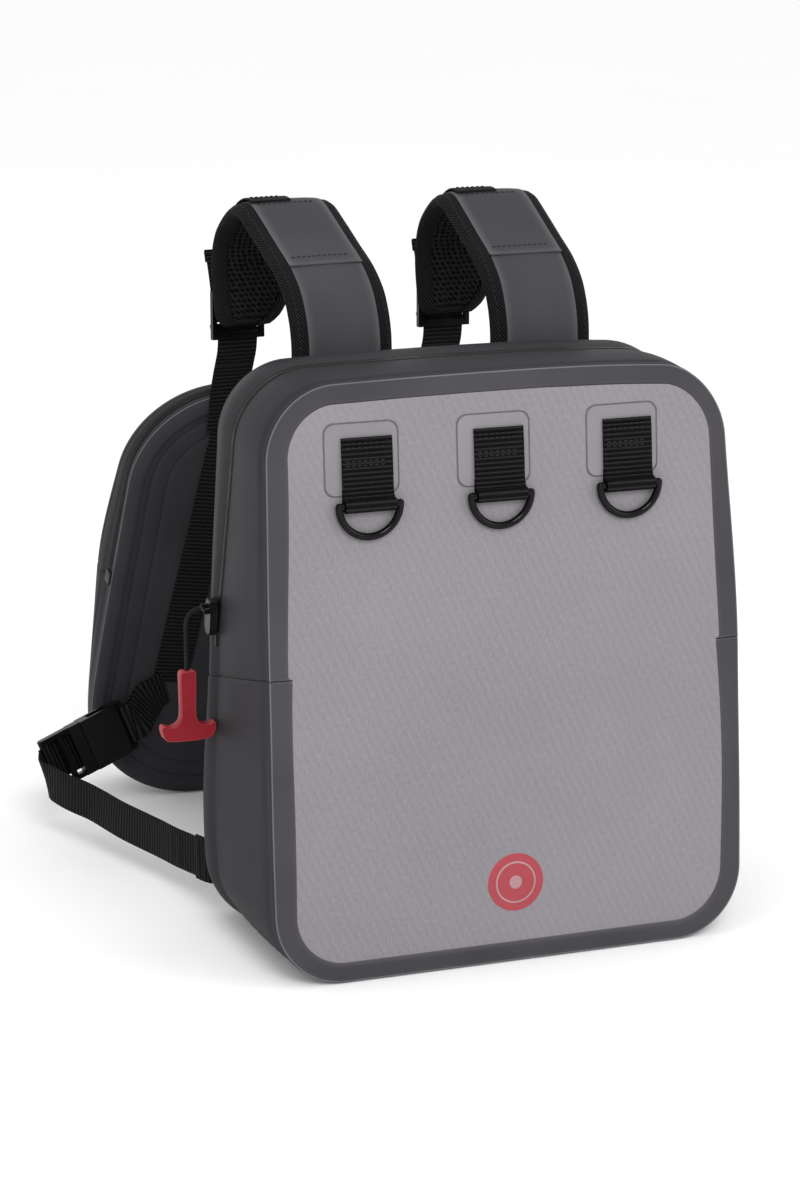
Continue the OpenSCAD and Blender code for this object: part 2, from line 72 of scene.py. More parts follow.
class Mat:
    """A small builder for procedural materials."""

    def __init__(self, name, color, rough, spec):
        self.m = bpy.data.materials.new(name)
        self.m.use_nodes = True
        self.n, self.l = self.m.node_tree.nodes, self.m.node_tree.links
        self.b = self.n["Principled BSDF"]
        self.b.inputs["Base Color"].default_value = (*color, 1)
        self.b.inputs["Roughness"].default_value = rough
        self.b.inputs["Specular IOR Level"].default_value = spec
        self.m.diffuse_color = (*color, 1)
        self.color = color
        self.coord = self.n.new("ShaderNodeTexCoord")

    def link(self, a, b):
        self.l.new(a, b)

    def math(self, op, a, b=None, c=None):
        node = self.n.new("ShaderNodeMath")
        node.operation = op
        for i, v in enumerate((a, b, c)):
            if v is None:
                continue
            if isinstance(v, (int, float)):
                node.inputs[i].default_value = v
            else:
                self.link(v, node.inputs[i])
        return node.outputs[0]

    def split(self, space):
        node = self.n.new("ShaderNodeSeparateXYZ")
        self.link(self.coord.outputs[space], node.inputs[0])
        return node.outputs

    def scaled(self, space, scale):
        node = self.n.new("ShaderNodeMapping")
        node.inputs["Scale"].default_value = scale
        self.link(self.coord.outputs[space], node.inputs["Vector"])
        return node.outputs[0]

    def noise(self, scale, detail=3, stretch=None):
        node = self.n.new("ShaderNodeTexNoise")
        node.inputs["Scale"].default_value = scale
        node.inputs["Detail"].default_value = detail
        source = self.scaled("Object", stretch) if stretch else self.coord.outputs["Object"]
        self.link(source, node.inputs["Vector"])
        return node.outputs["Fac"]

    def wave(self, value, pitch):
        """Runs from -1 to 1 along a coordinate, with its pitch in that coordinate's unit."""
        return self.math("SINE", self.math("MULTIPLY", value, 2 * math.pi / pitch))

    def weave(self):
        """Crossing threads of the face cloth, from -1 to 1."""
        x, _, z = self.split("Object")
        return self.math("MULTIPLY", self.wave(x, WEAVE_PITCH), self.wave(z, WEAVE_PITCH))

    def ramp(self, fac, low, high, c0, c1):
        node = self.n.new("ShaderNodeValToRGB")
        node.color_ramp.elements[0].position = low
        node.color_ramp.elements[1].position = high
        node.color_ramp.elements[0].color = (*c0, 1)
        node.color_ramp.elements[1].color = (*c1, 1)
        self.link(fac, node.inputs[0])
        return node.outputs[0]

    def bands(self, wave, low, high, c0, c1):
        """Colour from c0 to c1 as a wave runs from -1 to 1."""
        return self.ramp(self.math("MULTIPLY_ADD", wave, 0.5, 0.5), low, high, c0, c1)

    def mix(self, fac, a, b):
        node = self.n.new("ShaderNodeMix")
        node.data_type = "RGBA"
        if isinstance(fac, (int, float)):
            node.inputs[0].default_value = fac
        else:
            self.link(fac, node.inputs[0])
        for i, v in ((6, a), (7, b)):
            if isinstance(v, tuple):
                node.inputs[i].default_value = (*v, 1)
            else:
                self.link(v, node.inputs[i])
        return node.outputs[2]

    def vary(self, fac, spread):
        """Base colour from (1 - spread) to (1 + spread) of the material's own, by fac."""
        dark = tuple(c * (1 - spread) for c in self.color)
        light = tuple(min(1, c * (1 + spread)) for c in self.color)
        return self.ramp(fac, 0.3, 0.7, dark, light)

    def base(self, out):
        self.link(out, self.b.inputs["Base Color"])

    def roughness(self, fac, low, high):
        node = self.n.new("ShaderNodeMapRange")
        node.inputs["From Min"].default_value, node.inputs["From Max"].default_value = 0.3, 0.7
        node.inputs["To Min"].default_value, node.inputs["To Max"].default_value = low, high
        self.link(fac, node.inputs["Value"])
        self.link(node.outputs[0], self.b.inputs["Roughness"])

    def bump(self, *layers):
        """layers are (height, strength, distance in metres), stacked."""
        last = None
        for height, strength, distance in layers:
            node = self.n.new("ShaderNodeBump")
            node.inputs["Strength"].default_value = strength
            node.inputs["Distance"].default_value = distance
            self.link(height, node.inputs["Height"])
            if last:
                self.link(last, node.inputs["Normal"])
            last = node.outputs[0]
        self.link(last, self.b.inputs["Normal"])

    def edge_highlight(self, color_out, light, low=0.53, high=0.62):
        """Painted highlight: lighter colour along the convex edges."""
        geo = self.n.new("ShaderNodeNewGeometry")
        return self.mix(self.ramp(geo.outputs["Pointiness"], low, high, BLACK, WHITE), color_out, light)


def coated_fabric(name, color, spread=0.12, highlight_color=None):
    """Coated cloth: soft clouds under a fine grain, with a painted highlight that makes it paler along its
    convex edges when a highlight colour is given.
    """
    m = Mat(name, color, 0.5, spec=0.03)
    cloud = m.noise(14, 4)
    base = m.vary(cloud, spread)
    # painted highlight along the convex edges, when a highlight colour is given
    m.base(m.edge_highlight(base, highlight_color, 0.515, 0.59) if highlight_color else base)
    m.roughness(cloud, 0.44, 0.56)
    m.bump((cloud, 0.25, 0.003), (m.noise(1500, 2), 0.22, 0.0003))
    return m.m


def woven_panel():
    m = Mat("woven_panel", (0.178, 0.1665, 0.181), 0.62, spec=0.12)
    x, _, z = m.split("Object")
    weave = m.weave()
    diagonal = m.wave(m.math("ADD", x, m.math("MULTIPLY", z, 0.45)), 0.0052)
    slub = m.noise(1.0, 4, stretch=(900, 1, 380))
    cloud = m.noise(9, 3)
    base = m.vary(cloud, 0.05)
    base = m.mix(0.05, base, m.bands(weave, 0.1, 0.9, (0.12, 0.11, 0.125), (0.55, 0.52, 0.56)))
    base = m.mix(0.018, base, m.bands(diagonal, 0.2, 0.8, (0.10, 0.09, 0.10), (0.6, 0.58, 0.6)))
    base = m.mix(0.05, base, m.ramp(slub, 0.35, 0.65, (0.1, 0.1, 0.1), (0.6, 0.58, 0.6)))
    m.base(base)
    m.roughness(slub, 0.5, 0.62)
    m.bump((cloud, 0.2, 0.003), (weave, 0.16, 0.00018), (slub, 0.3, 0.0002))
    return m.m


def patch_film():
    m = Mat("patch_film", (0.185, 0.174, 0.188), 0.4, spec=0.25)
    m.base(m.vary(m.noise(30, 3), 0.05))
    m.bump((m.weave(), 0.18, 0.0002), (m.noise(200, 3), 0.12, 0.0006))
    return m.m


def patch_outline():
    m = Mat("patch_outline", (0.088, 0.082, 0.089), 0.5, spec=0.15)
    m.base(m.vary(m.noise(300, 3), 0.15))
    m.bump((m.noise(900, 2), 0.2, 0.0002))
    return m.m


def webbing():
    """Ribbed webbing; UV holds millimetres, u across and v along."""
    m = Mat("webbing", (0.0185, 0.0185, 0.0192), 0.6, spec=0.07)
    u, v, _ = m.split("UV")
    rib = m.wave(v, 2.7)
    yarn = m.wave(m.math("ADD", u, m.math("MULTIPLY", rib, 0.12)), 1.15)
    fuzz = m.noise(2600, 2)
    m.base(m.mix(m.bands(rib, 0.2, 0.9, BLACK, WHITE), (0.0025, 0.0025, 0.0028), m.vary(fuzz, 0.5)))
    m.roughness(fuzz, 0.52, 0.7)
    m.bump((rib, 1.0, 0.0009), (yarn, 0.5, 0.0002), (fuzz, 0.3, 0.0001))
    return m.m


def twill():
    m = Mat("twill_binding", (0.0072, 0.0072, 0.0077), 0.66, spec=0.06)
    u, v, _ = m.split("UV")
    ridge = m.wave(m.math("ADD", m.math("MULTIPLY", u, 0.8), m.math("MULTIPLY", v, 0.62)), 1.55)
    cross = m.wave(m.math("SUBTRACT", u, v), 0.9)
    m.base(m.mix(m.bands(ridge, 0.15, 0.85, BLACK, WHITE), (0.003, 0.003, 0.0033), (0.017, 0.017, 0.018)))
    m.bump((ridge, 0.9, 0.0005), (cross, 0.3, 0.00015))
    return m.m


def air_mesh():
    m = Mat("padded_mesh", (0.007, 0.007, 0.0076), 0.8, spec=0.05)
    cell = m.n.new("ShaderNodeTexVoronoi")
    cell.inputs["Randomness"].default_value = 0.22
    cell.inputs["Scale"].default_value = 1.0
    m.link(m.scaled("UV", (0.28, 0.28, 0.28)), cell.inputs["Vector"])
    hole = m.ramp(cell.outputs["Distance"], 0.25, 0.42, BLACK, WHITE)
    m.base(m.mix(hole, (0.0015, 0.0015, 0.0015), (0.014, 0.014, 0.015)))
    m.bump((hole, 0.9, 0.0011), (m.noise(2500, 2), 0.35, 0.0002))
    return m.m


def foam():
    m = Mat("foam", (0.03, 0.03, 0.034), 0.85, spec=0.25)
    m.base(m.vary(m.noise(700, 4), 0.25))
    m.bump((m.noise(900, 3), 0.4, 0.0006))
    return m.m


def zip_rubber():
    m = Mat("zip_tape", (0.006, 0.006, 0.0065), 0.46, spec=0.12)
    cloud = m.noise(160, 3)
    # paler colour on the convex edges: painted highlight
    m.base(m.edge_highlight(m.vary(cloud, 0.2), (0.014, 0.014, 0.015)))
    m.roughness(cloud, 0.34, 0.5)
    m.bump((m.noise(1800, 2), 0.2, 0.00015))
    return m.m


def hard_plastic():
    m = Mat("black_plastic", (0.0036, 0.0036, 0.004), 0.3, spec=0.09)
    grain, cloud = m.noise(2600, 2), m.noise(60, 3)
    # paler colour on the convex edges: painted highlight
    m.base(m.edge_highlight(m.vary(cloud, 0.15), (0.011, 0.011, 0.012), 0.56, 0.66))
    m.roughness(cloud, 0.24, 0.34)
    m.bump((grain, 0.25, 0.00008))
    return m.m


def black_metal():
    m = Mat("black_metal", (0.001, 0.001, 0.0011), 0.12, spec=0.16)
    cloud = m.noise(110, 3)
    m.base(m.vary(cloud, 0.3))
    m.roughness(cloud, 0.09, 0.17)
    m.bump((m.noise(900, 2), 0.06, 0.0001))
    return m.m


def braid():
    m = Mat("pull_cord", (0.008, 0.008, 0.0085), 0.6, spec=0.1)
    _, y, z = m.split("Object")
    lean = m.math("MULTIPLY", y, 0.8)
    a, b = (m.wave(m.math(way, z, lean), 0.0014) for way in ("ADD", "SUBTRACT"))
    m.base(m.vary(m.noise(1500, 2), 0.4))
    m.bump((m.math("MAXIMUM", a, b), 0.5, 0.00015))
    return m.m


def red_rubber():
    m = Mat("red_rubber", (0.225, 0.010, 0.018), 0.46, spec=0.2)
    cloud = m.noise(70, 3)
    # lighter red on the convex edges: painted highlight
    m.base(m.edge_highlight(m.vary(cloud, 0.07), (0.36, 0.05, 0.06)))
    m.roughness(cloud, 0.4, 0.52)
    m.bump((m.noise(1600, 2), 0.16, 0.00012))
    return m.m


def print_ink(name, color):
    m = Mat(name, color, 0.5, spec=0.4)
    weave = m.weave()
    threads = m.bands(weave, 0.1, 0.9, (0.06, 0.012, 0.012), (0.5, 0.2, 0.2))
    m.base(m.mix(0.12, m.vary(m.noise(60, 3), 0.06), threads))
    m.bump((weave, 0.35, 0.0002))
    return m.m


def thread():
    m = Mat("thread", (0.021, 0.021, 0.022), 0.5, spec=0.12)
    m.base(m.vary(m.noise(3000, 2), 0.4))
    m.bump((m.noise(3500, 2), 0.4, 0.0001))
    return m.m


# the last colour is the coated cloth's painted highlight along its convex edges
TPU = coated_fabric("coated_fabric", (0.051, 0.049, 0.054), 0.13, (0.095, 0.092, 0.099))
# darker copy of the coated cloth for the walls, back and inner faces: painted shade
TPU_SHADE = coated_fabric("coated_wall_shade", (0.031, 0.0295, 0.033))
# paler copy of the coated cloth for the fine lines along the folds: painted highlight
TPU_HIGHLIGHT = coated_fabric("coated_fold_highlight", (0.125, 0.121, 0.13))
TPU_LINE = coated_fabric("coated_weld", (0.012, 0.0115, 0.013))
WOVEN, FILM, FILM_LINE = woven_panel(), patch_film(), patch_outline()
WEB, TWILL, MESH, FOAM, THREAD = webbing(), twill(), air_mesh(), foam(), thread()
ZIP, PLASTIC, METAL, BRAID, RED = zip_rubber(), hard_plastic(), black_metal(), braid(), red_rubber()
INK, INK_PALE = print_ink("badge_ink", (0.30, 0.022, 0.036)), print_ink("badge_mark", (0.34, 0.19, 0.20))


# ---------- mesh helpers ----------

def turn_outwards(mesh):
    work = bmesh.new()
    work.from_mesh(mesh)
    bmesh.ops.recalc_face_normals(work, faces=work.faces)
    work.to_mesh(mesh)
    work.free()


def make(name, verts, faces, mat, body=None, node=(), uv=None, angle=None, normals=None, fix=False):
    """A mesh piece in metres from millimetre points; fix turns its faces outwards."""
    mesh = bpy.data.meshes.new(name)
    mesh.from_pydata((np.asarray(verts, float) * MM).tolist(), [], [tuple(int(i) for i in f) for f in faces])
    mesh.update()
    obj = bpy.data.objects.new(name, mesh)
    bpy.context.scene.collection.objects.link(obj)
    mesh.materials.append(mat)
    mesh.polygons.foreach_set("use_smooth", [True] * len(mesh.polygons))
    if uv is not None:
        layer = mesh.uv_layers.new(name="UVMap")
        loops = np.empty(len(mesh.loops), int)
        mesh.loops.foreach_get("vertex_index", loops)
        layer.data.foreach_set("uv", np.asarray(uv, float)[loops].ravel())
    if angle is not None:
        mesh.set_sharp_from_angle(angle=math.radians(angle))
    if normals is not None:
        mesh.normals_split_custom_set_from_vertices(np.asarray(normals, float).tolist())
    if node:
        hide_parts(*((node,) if isinstance(node, str) else node))
    if fix:
        turn_outwards(mesh)
    if body:
        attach(obj, body)
    return obj


def thick_sheet(name, verts, faces, mat, body, node, thick, offset):
    obj = make(name, verts, faces, mat, None, node)
    mod = obj.modifiers.new("thickness", "SOLIDIFY")
    mod.thickness, mod.offset = thick * MM, offset
    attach(obj, body)


def join(parts):
    """Several (verts, faces, uv) as one."""
    verts, faces, uvs, start = [], [], [], 0
    for v, f, t in parts:
        verts.append(np.asarray(v, float))
        uvs.append(np.asarray(t, float))
        faces += [tuple(i + start for i in q) for q in f]
        start += len(v)
    return np.concatenate(verts), faces, np.concatenate(uvs)


def unit(v):
    v = np.asarray(v, float)
    return v / np.maximum(np.linalg.norm(v, axis=-1, keepdims=True), 1e-12)


def along(points):
    """Distance from the first point to each one."""
    return np.concatenate([[0], np.cumsum(np.linalg.norm(np.diff(points, axis=0), axis=1))])


def sample(want, grid, values):
    """Each column of values, known at grid, read at want."""
    return np.stack([np.interp(want, grid, values[:, k]) for k in range(values.shape[1])], -1)


def circle(radius, count, squash=1.0):
    turn = np.linspace(0, 2 * math.pi, count, endpoint=False)
    return [(radius * math.cos(a), radius * squash * math.sin(a)) for a in turn]


def sin_cos(degrees):
    return math.sin(math.radians(degrees)), math.cos(math.radians(degrees))


def spline(points, count):
    """Evenly spaced points on a smooth curve through the given ones."""
    p = np.asarray(points, float)
    ext = np.vstack([2 * p[0] - p[1], p, 2 * p[-1] - p[-2]])
    out = []
    for i in range(1, len(ext) - 2):
        a, b, c, d = ext[i - 1:i + 3]
        for t in np.linspace(0, 1, 24, endpoint=False):
            out.append(0.5 * (2 * b + (c - a) * t + (2 * a - 5 * b + 4 * c - d) * t ** 2
                              + (3 * b - a - 3 * c + d) * t ** 3))
    out = np.array(out + [p[-1]])
    s = along(out)
    return sample(np.linspace(0, s[-1], count), s, out)


def tangents(path):
    return unit(np.gradient(np.asarray(path, float), axis=0))


def ring_faces(rows, cols):
    """Quads of a grid whose columns close on themselves."""
    return [(r * cols + c, r * cols + (c + 1) % cols, (r + 1) * cols + (c + 1) % cols, (r + 1) * cols + c)
            for r in range(rows - 1) for c in range(cols)]


def open_faces(rows, cols):
    """Quads of an open grid."""
    return [(r * cols + c, r * cols + c + 1, (r + 1) * cols + c + 1, (r + 1) * cols + c)
            for r in range(rows - 1) for c in range(cols - 1)]


def turned(quads):
    return [(a, d, c, b) for a, b, c, d in quads]


def flipped(faces):
    return [q[::-1] for q in faces]


def end_caps(rows, cols):
    return [tuple(range(cols)), tuple(range(rows * cols - 1, (rows - 1) * cols - 1, -1))]


def sweep(path, across, section):
    """Carries a closed section of (a, b) points, a along across and b along the normal, down a path."""
    path, q = np.asarray(path, float), np.asarray(section, float)
    t = tangents(path)
    w = np.broadcast_to(np.asarray(across, float), path.shape)
    w = unit(w - (w * t).sum(-1, keepdims=True) * t)
    n, s = np.cross(t, w), along(path)
    verts = [path[k] + q[:, :1] * w[k] + q[:, 1:] * n[k] for k in range(len(path))]
    uv = [np.stack([q[:, 0], np.full(len(q), s[k])], -1) for k in range(len(path))]
    faces = turned(ring_faces(len(path), len(q))) + end_caps(len(path), len(q))
    return np.concatenate(verts), faces, np.concatenate(uv)


def strip_section(width, t):
    """Flat webbing section with rounded edges."""
    h, r = width / 2, t / 2
    top = [(a, r) for a in np.linspace(h - r, -h + r, 10)]
    bottom = [(a, -r) for a in np.linspace(-h + r, h - r, 10)]
    round_edge = np.linspace(0, math.pi, 5)[1:-1]
    left = [(-h + r - r * math.sin(x), r * math.cos(x)) for x in round_edge]
    right = [(h - r + r * math.sin(x), -r * math.cos(x)) for x in round_edge]
    return top + left + bottom + right


def ribbon(name, path, across, width, t, body=None, node=(), count=40):
    """Webbing along a smooth path; across is one direction or a list of them along the path."""
    path, across = spline(path, count), np.asarray(across, float)
    if across.ndim == 2:
        across = sample(np.linspace(0, 1, count), np.linspace(0, 1, len(across)), across)
    v, f, uv = sweep(path, across, strip_section(width, t))
    return make(name, v, f, WEB, body, node, uv, angle=50)


def stitch_run(points, normals, length=2.2, gap=1.0, radius=0.38):
    """Separate small stitches along a line that lies on a surface."""
    p = np.asarray(points, float)
    s, normals = along(p), np.broadcast_to(np.asarray(normals, float), p.shape)
    start, rise, taper, sides = 0.5, 0.1, (0.35, 0.9, 1.0, 0.9, 0.35), 6
    parts = []
    for i in range(int((s[-1] - start) // (length + gap))):
        a = i * (length + gap) + start
        line = sample(np.linspace(a, a + length, len(taper)), s, p)
        n = unit(sample([a], s, normals)[0])
        w = np.cross(unit(line[-1] - line[0]), n)
        verts = []
        for point, thin in zip(line, taper):
            for x in np.arange(sides) * math.pi / 3:
                verts.append(point + radius * thin * (math.cos(x) * w + math.sin(x) * n) + n * rise)
        faces = ring_faces(len(taper), sides) + flipped(end_caps(len(taper), sides))
        parts.append((verts, faces, np.zeros((len(verts), 2))))
    return join(parts)


def stitches(name, runs, body, node):
    v, f, uv = join(runs)
    make(name, v, f, THREAD, body, node, uv)


def paint_node(node, mat, width=0.0):
    """A CAD node that stays: its own material and finely rounded edges."""
    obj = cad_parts[node]
    obj.data.materials.clear()
    obj.data.materials.append(mat)
    for slot in obj.material_slots:
        slot.link = "OBJECT"
        slot.material = mat
    if width:
        mod = obj.modifiers.new("edge", "BEVEL")
        mod.width, mod.segments, mod.limit_method = width * MM, 3, "ANGLE"
        mod.angle_limit, mod.harden_normals = math.radians(35), True
    return obj


def step(a, b, x):
    t = np.clip((np.asarray(x, float) - a) / (b - a), 0, 1)
    return t * t * (3 - 2 * t)


def cut_mesh(verts, faces, normals, keep, thick):
    """The kept faces with an inner side and a rim: verts, faces, normals and each face's own cell, or -1."""
    cells, faces = np.where(keep)[0], np.asarray(faces)[keep]
    used = np.unique(faces)
    lookup = -np.ones(len(verts), int)
    lookup[used] = np.arange(len(used))
    v, n, count = verts[used], normals[used], len(used)
    edges, out_faces, tags = {}, [], []
    for cell, q in zip(cells, lookup[faces]):
        q = [int(i) for k, i in enumerate(q) if i != q[k - 1]]
        for a, b in zip(q, q[1:] + q[:1]):
            if edges.pop((b, a), None) is None:
                edges[(a, b)] = True
        if len(q) >= 3:
            out_faces += [tuple(q), tuple(i + count for i in reversed(q))]
            tags += [cell, cell]
    rim_n = np.zeros_like(v)
    for a, b in edges:
        out_faces.append((b + 2 * count, a + 2 * count, a + 3 * count, b + 3 * count))
        tags.append(-1)
        side = np.cross(v[b] - v[a], n[a])
        rim_n[a] += side
        rim_n[b] += side
    rim_n, inner = unit(rim_n), v - n * thick
    all_v, all_n = np.concatenate([v, inner, v, inner]), np.concatenate([n, -n, rim_n, rim_n])
    flat = sorted({i for q in out_faces for i in q})
    remap = {i: k for k, i in enumerate(flat)}
    return all_v[flat], [tuple(remap[i] for i in q) for q in out_faces], all_n[flat], np.array(tags)


def skin(name, grid, shell, keep, names, body, nodes):
    """A welded skin cut from a shell, paler over the border and the front edge and darker elsewhere, the
    darker colour being painted shade.
    """
    v, f, normals, tags = cut_mesh(grid.reshape(-1, 3), *shell, keep, 1.9)
    obj = make(name, v, f, TPU, body, nodes, normals=normals)
    obj.data.materials.append(TPU_SHADE)
    # rows past the border and the front edge take the darker material as painted shade
    wall = np.array([row not in ("border", "edge") for row in names])
    dark = np.where(tags >= 0, wall[np.maximum(tags, 0) // grid.shape[1]], True)
    obj.data.polygons.foreach_set("material_index", dark.astype(np.int32))


def bead(name, path, across, radius, mat, body, node):
    """A fine raised line along a fold or a weld."""
    v, f, uv = sweep(path, across, circle(radius, 8))
    make(name, v, f, mat, body, node, uv, fix=True)


def ring_run(line, limit, above):
    """Indices of the outline above or below a height, in order."""
    z = line[0][:, 1]
    start = int(np.argmin(z) if above else np.argmax(z))
    return [i for i in ((start + k) % len(z) for k in range(len(z))) if (z[i] >= limit) == above]


def fold_lines(prefix, grid, line, seam, row, last):
    """Pale line along the rim's fold, a painted highlight, and the dark weld line across both walls."""
    for above, body, node, part in ((True, "front", "upper_shell", "upper"), (False, "pack", "tub", "lower")):
        bead(f"{prefix}_rim_{part}", grid[row, ring_run(line, seam, above)], (0, 1, 0), 0.42, TPU_HIGHLIGHT,
             f"{prefix}_{body}", f"{prefix}_{node}")
    z, x = line[0][:, 1], line[0][:, 0]
    for side, name in ((-1, "left"), (1, "right")):
        column = int(np.argmin(np.abs(z - seam) + 1000 * (x * side < 0)))
        bead(f"{prefix}_weld_{name}", grid[:last, column], (0, 0, 1), 0.34, TPU_LINE, f"{prefix}_pack",
             f"{prefix}_tub")


def vertex_normals(verts, faces):
    n = np.zeros_like(verts)
    f = np.asarray(faces)
    d1, d2 = verts[f[:, 2]] - verts[f[:, 0]], verts[f[:, 3]] - verts[f[:, 1]]
    fn = np.cross(d1, d2)
    for k in range(4):
        np.add.at(n, f[:, k], fn)
    return unit(n)


# ---------- camera, light, floor ----------

CAMERA_AT, VIEW_DIR, LENS = Vector((-0.7036, -1.7709, 0.6825)), Vector((0.3383, 0.9081, -0.2468)), 153.0
camera = bpy.data.cameras.new("camera")
camera.sensor_fit, camera.sensor_width, camera.lens = "HORIZONTAL", 36.0, LENS
cam = bpy.data.objects.new("camera", camera)
bpy.context.scene.collection.objects.link(cam)
bpy.context.scene.camera = cam
cam.location = CAMERA_AT
cam.rotation_euler = VIEW_DIR.to_track_quat("-Z", "Y").to_euler()

world = bpy.data.worlds.new("studio")
world.use_nodes = True
world.node_tree.nodes["Background"].inputs[0].default_value = (1, 1, 1, 1)
world.node_tree.nodes["Background"].inputs[1].default_value = 1.0
bpy.context.scene.world = world
bpy.context.scene.view_settings.view_transform = "Standard"


def area(name, at, aim, size, power):
    data = bpy.data.lights.new(name, "AREA")
    data.shape, data.size, data.energy = "SQUARE", size, power
    light = bpy.data.objects.new(name, data)
    light.location = at
    light.rotation_euler = (Vector(aim) - Vector(at)).to_track_quat("-Z", "Y").to_euler()
    bpy.context.scene.collection.objects.link(light)


area("key", (-0.45, -2.4, 1.9), (0, 0, 0.2), 1.0, 38)
area("fill", (1.5, -1.6, 0.9), (0, 0, 0.2), 1.2, 9)
area("top", (-0.4, 0.3, 2.1), (0, 0.1, 0.2), 0.9, 1.5)
area("edge", (-1.7, 0.5, 1.0), (-0.1, 0.1, 0.2), 0.5, 1.0)

floor_mat, FLOOR_HALF = Mat("studio_floor", (0.96, 0.96, 0.96), 0.9, spec=0.2), 12
floor_mat.base(floor_mat.vary(floor_mat.noise(2, 2), 0.005))
floor_mesh = bpy.data.meshes.new("floor")
corners = [(x * FLOOR_HALF, y * FLOOR_HALF, 0) for x, y in ((-1, -1), (1, -1), (1, 1), (-1, 1))]
floor_mesh.from_pydata(corners, [], [(0, 1, 2, 3)])
floor_mesh.materials.append(floor_mat.m)
floor = bpy.data.objects.new("floor", floor_mesh)
bpy.context.scene.collection.objects.link(floor)
floor.location.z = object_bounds()[0][2] - 0.0003


# ---------- sizes, from the CAD boxes, in millimetres ----------

def span(node):
    low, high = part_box(node)
    return np.array(low) / MM, np.array(high) / MM


HALF = span("main_tub")[1][0]
PACK_H = span("main_back_shell")[1][2]
FRONT_0, BACK_0 = span("main_tub")[0][1], span("main_back_shell")[1][1]
FRONT_LEAN, BACK_LEAN, CORNER = 22.0, 16.0, 41.0
SEAM = span("main_tub")[1][2] + 0.15
ZIP_LOW, ZIP_SLOPE, ZIP_BEND = span("main_tub")[1][1], 0.196, SEAM + 18.85


def front_y(z):
    return FRONT_0 + FRONT_LEAN * z / PACK_H


def back_y(z):
    return BACK_0 - BACK_LEAN * z / PACK_H


def zip_y(z):
    return ZIP_LOW - ZIP_SLOPE * np.maximum(0, z - ZIP_BEND)


def crown(x, z):
    mid = PACK_H / 2
    return 1.5 * np.clip(1 - (x / HALF) ** 2, 0, 1) * np.clip(1 - ((z - mid) / mid) ** 2, 0, 1)


def face_y(x, z):
    """The woven face's surface."""
    return front_y(z) - 1.0 - crown(x, z)


# ---------- pull cords and grips ----------

CORD_D = 2.9
MAIN_CORD = [(-153.4, 33, 197), (-155.5, 33, 197), (-158, 33, 196), (-160.4, 33, 193.6), (-161.7, 33, 190.5),
             (-162, 33, 187), (-162, 33, 181), (-162, 33, 175), (-162, 33, 168), (-162, 33, 161)]
CHEST_CORD = [(151.4, 257, 191.5), (154, 257, 191.5), (159, 257, 191.3), (163, 257, 189.6), (166, 257, 186.8),
              (167.6, 257, 183), (168, 257, 178), (168, 257, 172), (168, 257, 166), (168, 257, 159)]
GRIP_HALF = [(0, 0.8), (3.2, 0.8), (4.5, 0.1), (4.9, -1.6), (4.7, -12), (4.5, -22), (4.7, -26.5), (5.6, -29.2),
             (7.6, -30.8), (10.2, -31.7), (12.4, -31.5), (14.0, -30.7), (15.3, -30.6), (16.2, -31.3),
             (16.4, -32.6), (16.2, -35.0), (15.0, -38.2), (12.4, -40.3), (6, -40.9), (0, -41.0)]
GRIP_LAYERS = [(-3.1, 1.0), (-3.4, 0.7), (-3.2, 0.25), (-2.6, 0.0), (2.6, 0.0), (3.2, 0.25), (3.4, 0.7),
               (3.1, 1.0)]


def braided_cord(name, route, body, node):
    data = bpy.data.curves.new(name, "CURVE")
    data.dimensions, data.bevel_depth, data.bevel_resolution = "3D", CORD_D / 2 * MM, 5
    data.use_fill_caps, data.resolution_u = True, 8
    line = data.splines.new("BEZIER")
    line.bezier_points.add(len(route) - 1)
    for point, co in zip(line.bezier_points, route):
        point.co = Vector(co) * MM
        point.handle_left_type = point.handle_right_type = "AUTO"
    data.materials.append(BRAID)
    obj = bpy.data.objects.new(name, data)
    bpy.context.scene.collection.objects.link(obj)
    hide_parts(node)
    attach(obj, body)
    return obj


def pull_grip(name, top, body, node):
    """T-shaped grip: tapered stem, upturned bar ends, all edges rounded; layers are (y, inset)."""
    half = GRIP_HALF
    pts = np.array((half[::-1] + [(-x, z) for x, z in half[1:-1]])[::-1])
    tangent = np.roll(pts, -1, 0) - np.roll(pts, 1, 0)
    normal = unit(np.stack([tangent[:, 1], -tangent[:, 0]], -1))
    if ((pts - (0, -30.0)) * normal).sum() < 0:
        normal = -normal
    verts = [np.array(top) + (a, y, b) for y, inset in GRIP_LAYERS for a, b in pts - normal * inset]
    rows, n = len(GRIP_LAYERS), len(pts)
    faces = ring_faces(rows, n) + flipped(end_caps(rows, n))
    return make(name, verts, faces, RED, body, node, angle=24, fix=True)


ROUTES = {"main_pull": MAIN_CORD, "chest_pull": CHEST_CORD}
cords = [braided_cord(f"{pull}_cord_braid", route, pull, f"{pull}_cord") for pull, route in ROUTES.items()]
grips = [pull_grip(f"{pull}_grip", route[-1], pull, f"{pull}_handle") for pull, route in ROUTES.items()]


# ---------- main pack ----------

def arc(cx, cz, r, a0, a1, n):
    """Points on an arc and their outward normals."""
    a = np.radians(np.linspace(a0, a1, n))
    return np.stack([cx + r * np.cos(a), cz + r * np.sin(a)], -1), np.stack([np.cos(a), np.sin(a)], -1)


def straight(x, z, normal):
    """Points on a straight stretch, with x or z fixed, and their normals."""
    x, z = np.broadcast_arrays(x, z)
    return np.stack([x, z], -1), np.tile(np.array(normal, float), (len(x), 1))


def outline_of(parts):
    return np.concatenate([p for p, _ in parts]), np.concatenate([n for _, n in parts])


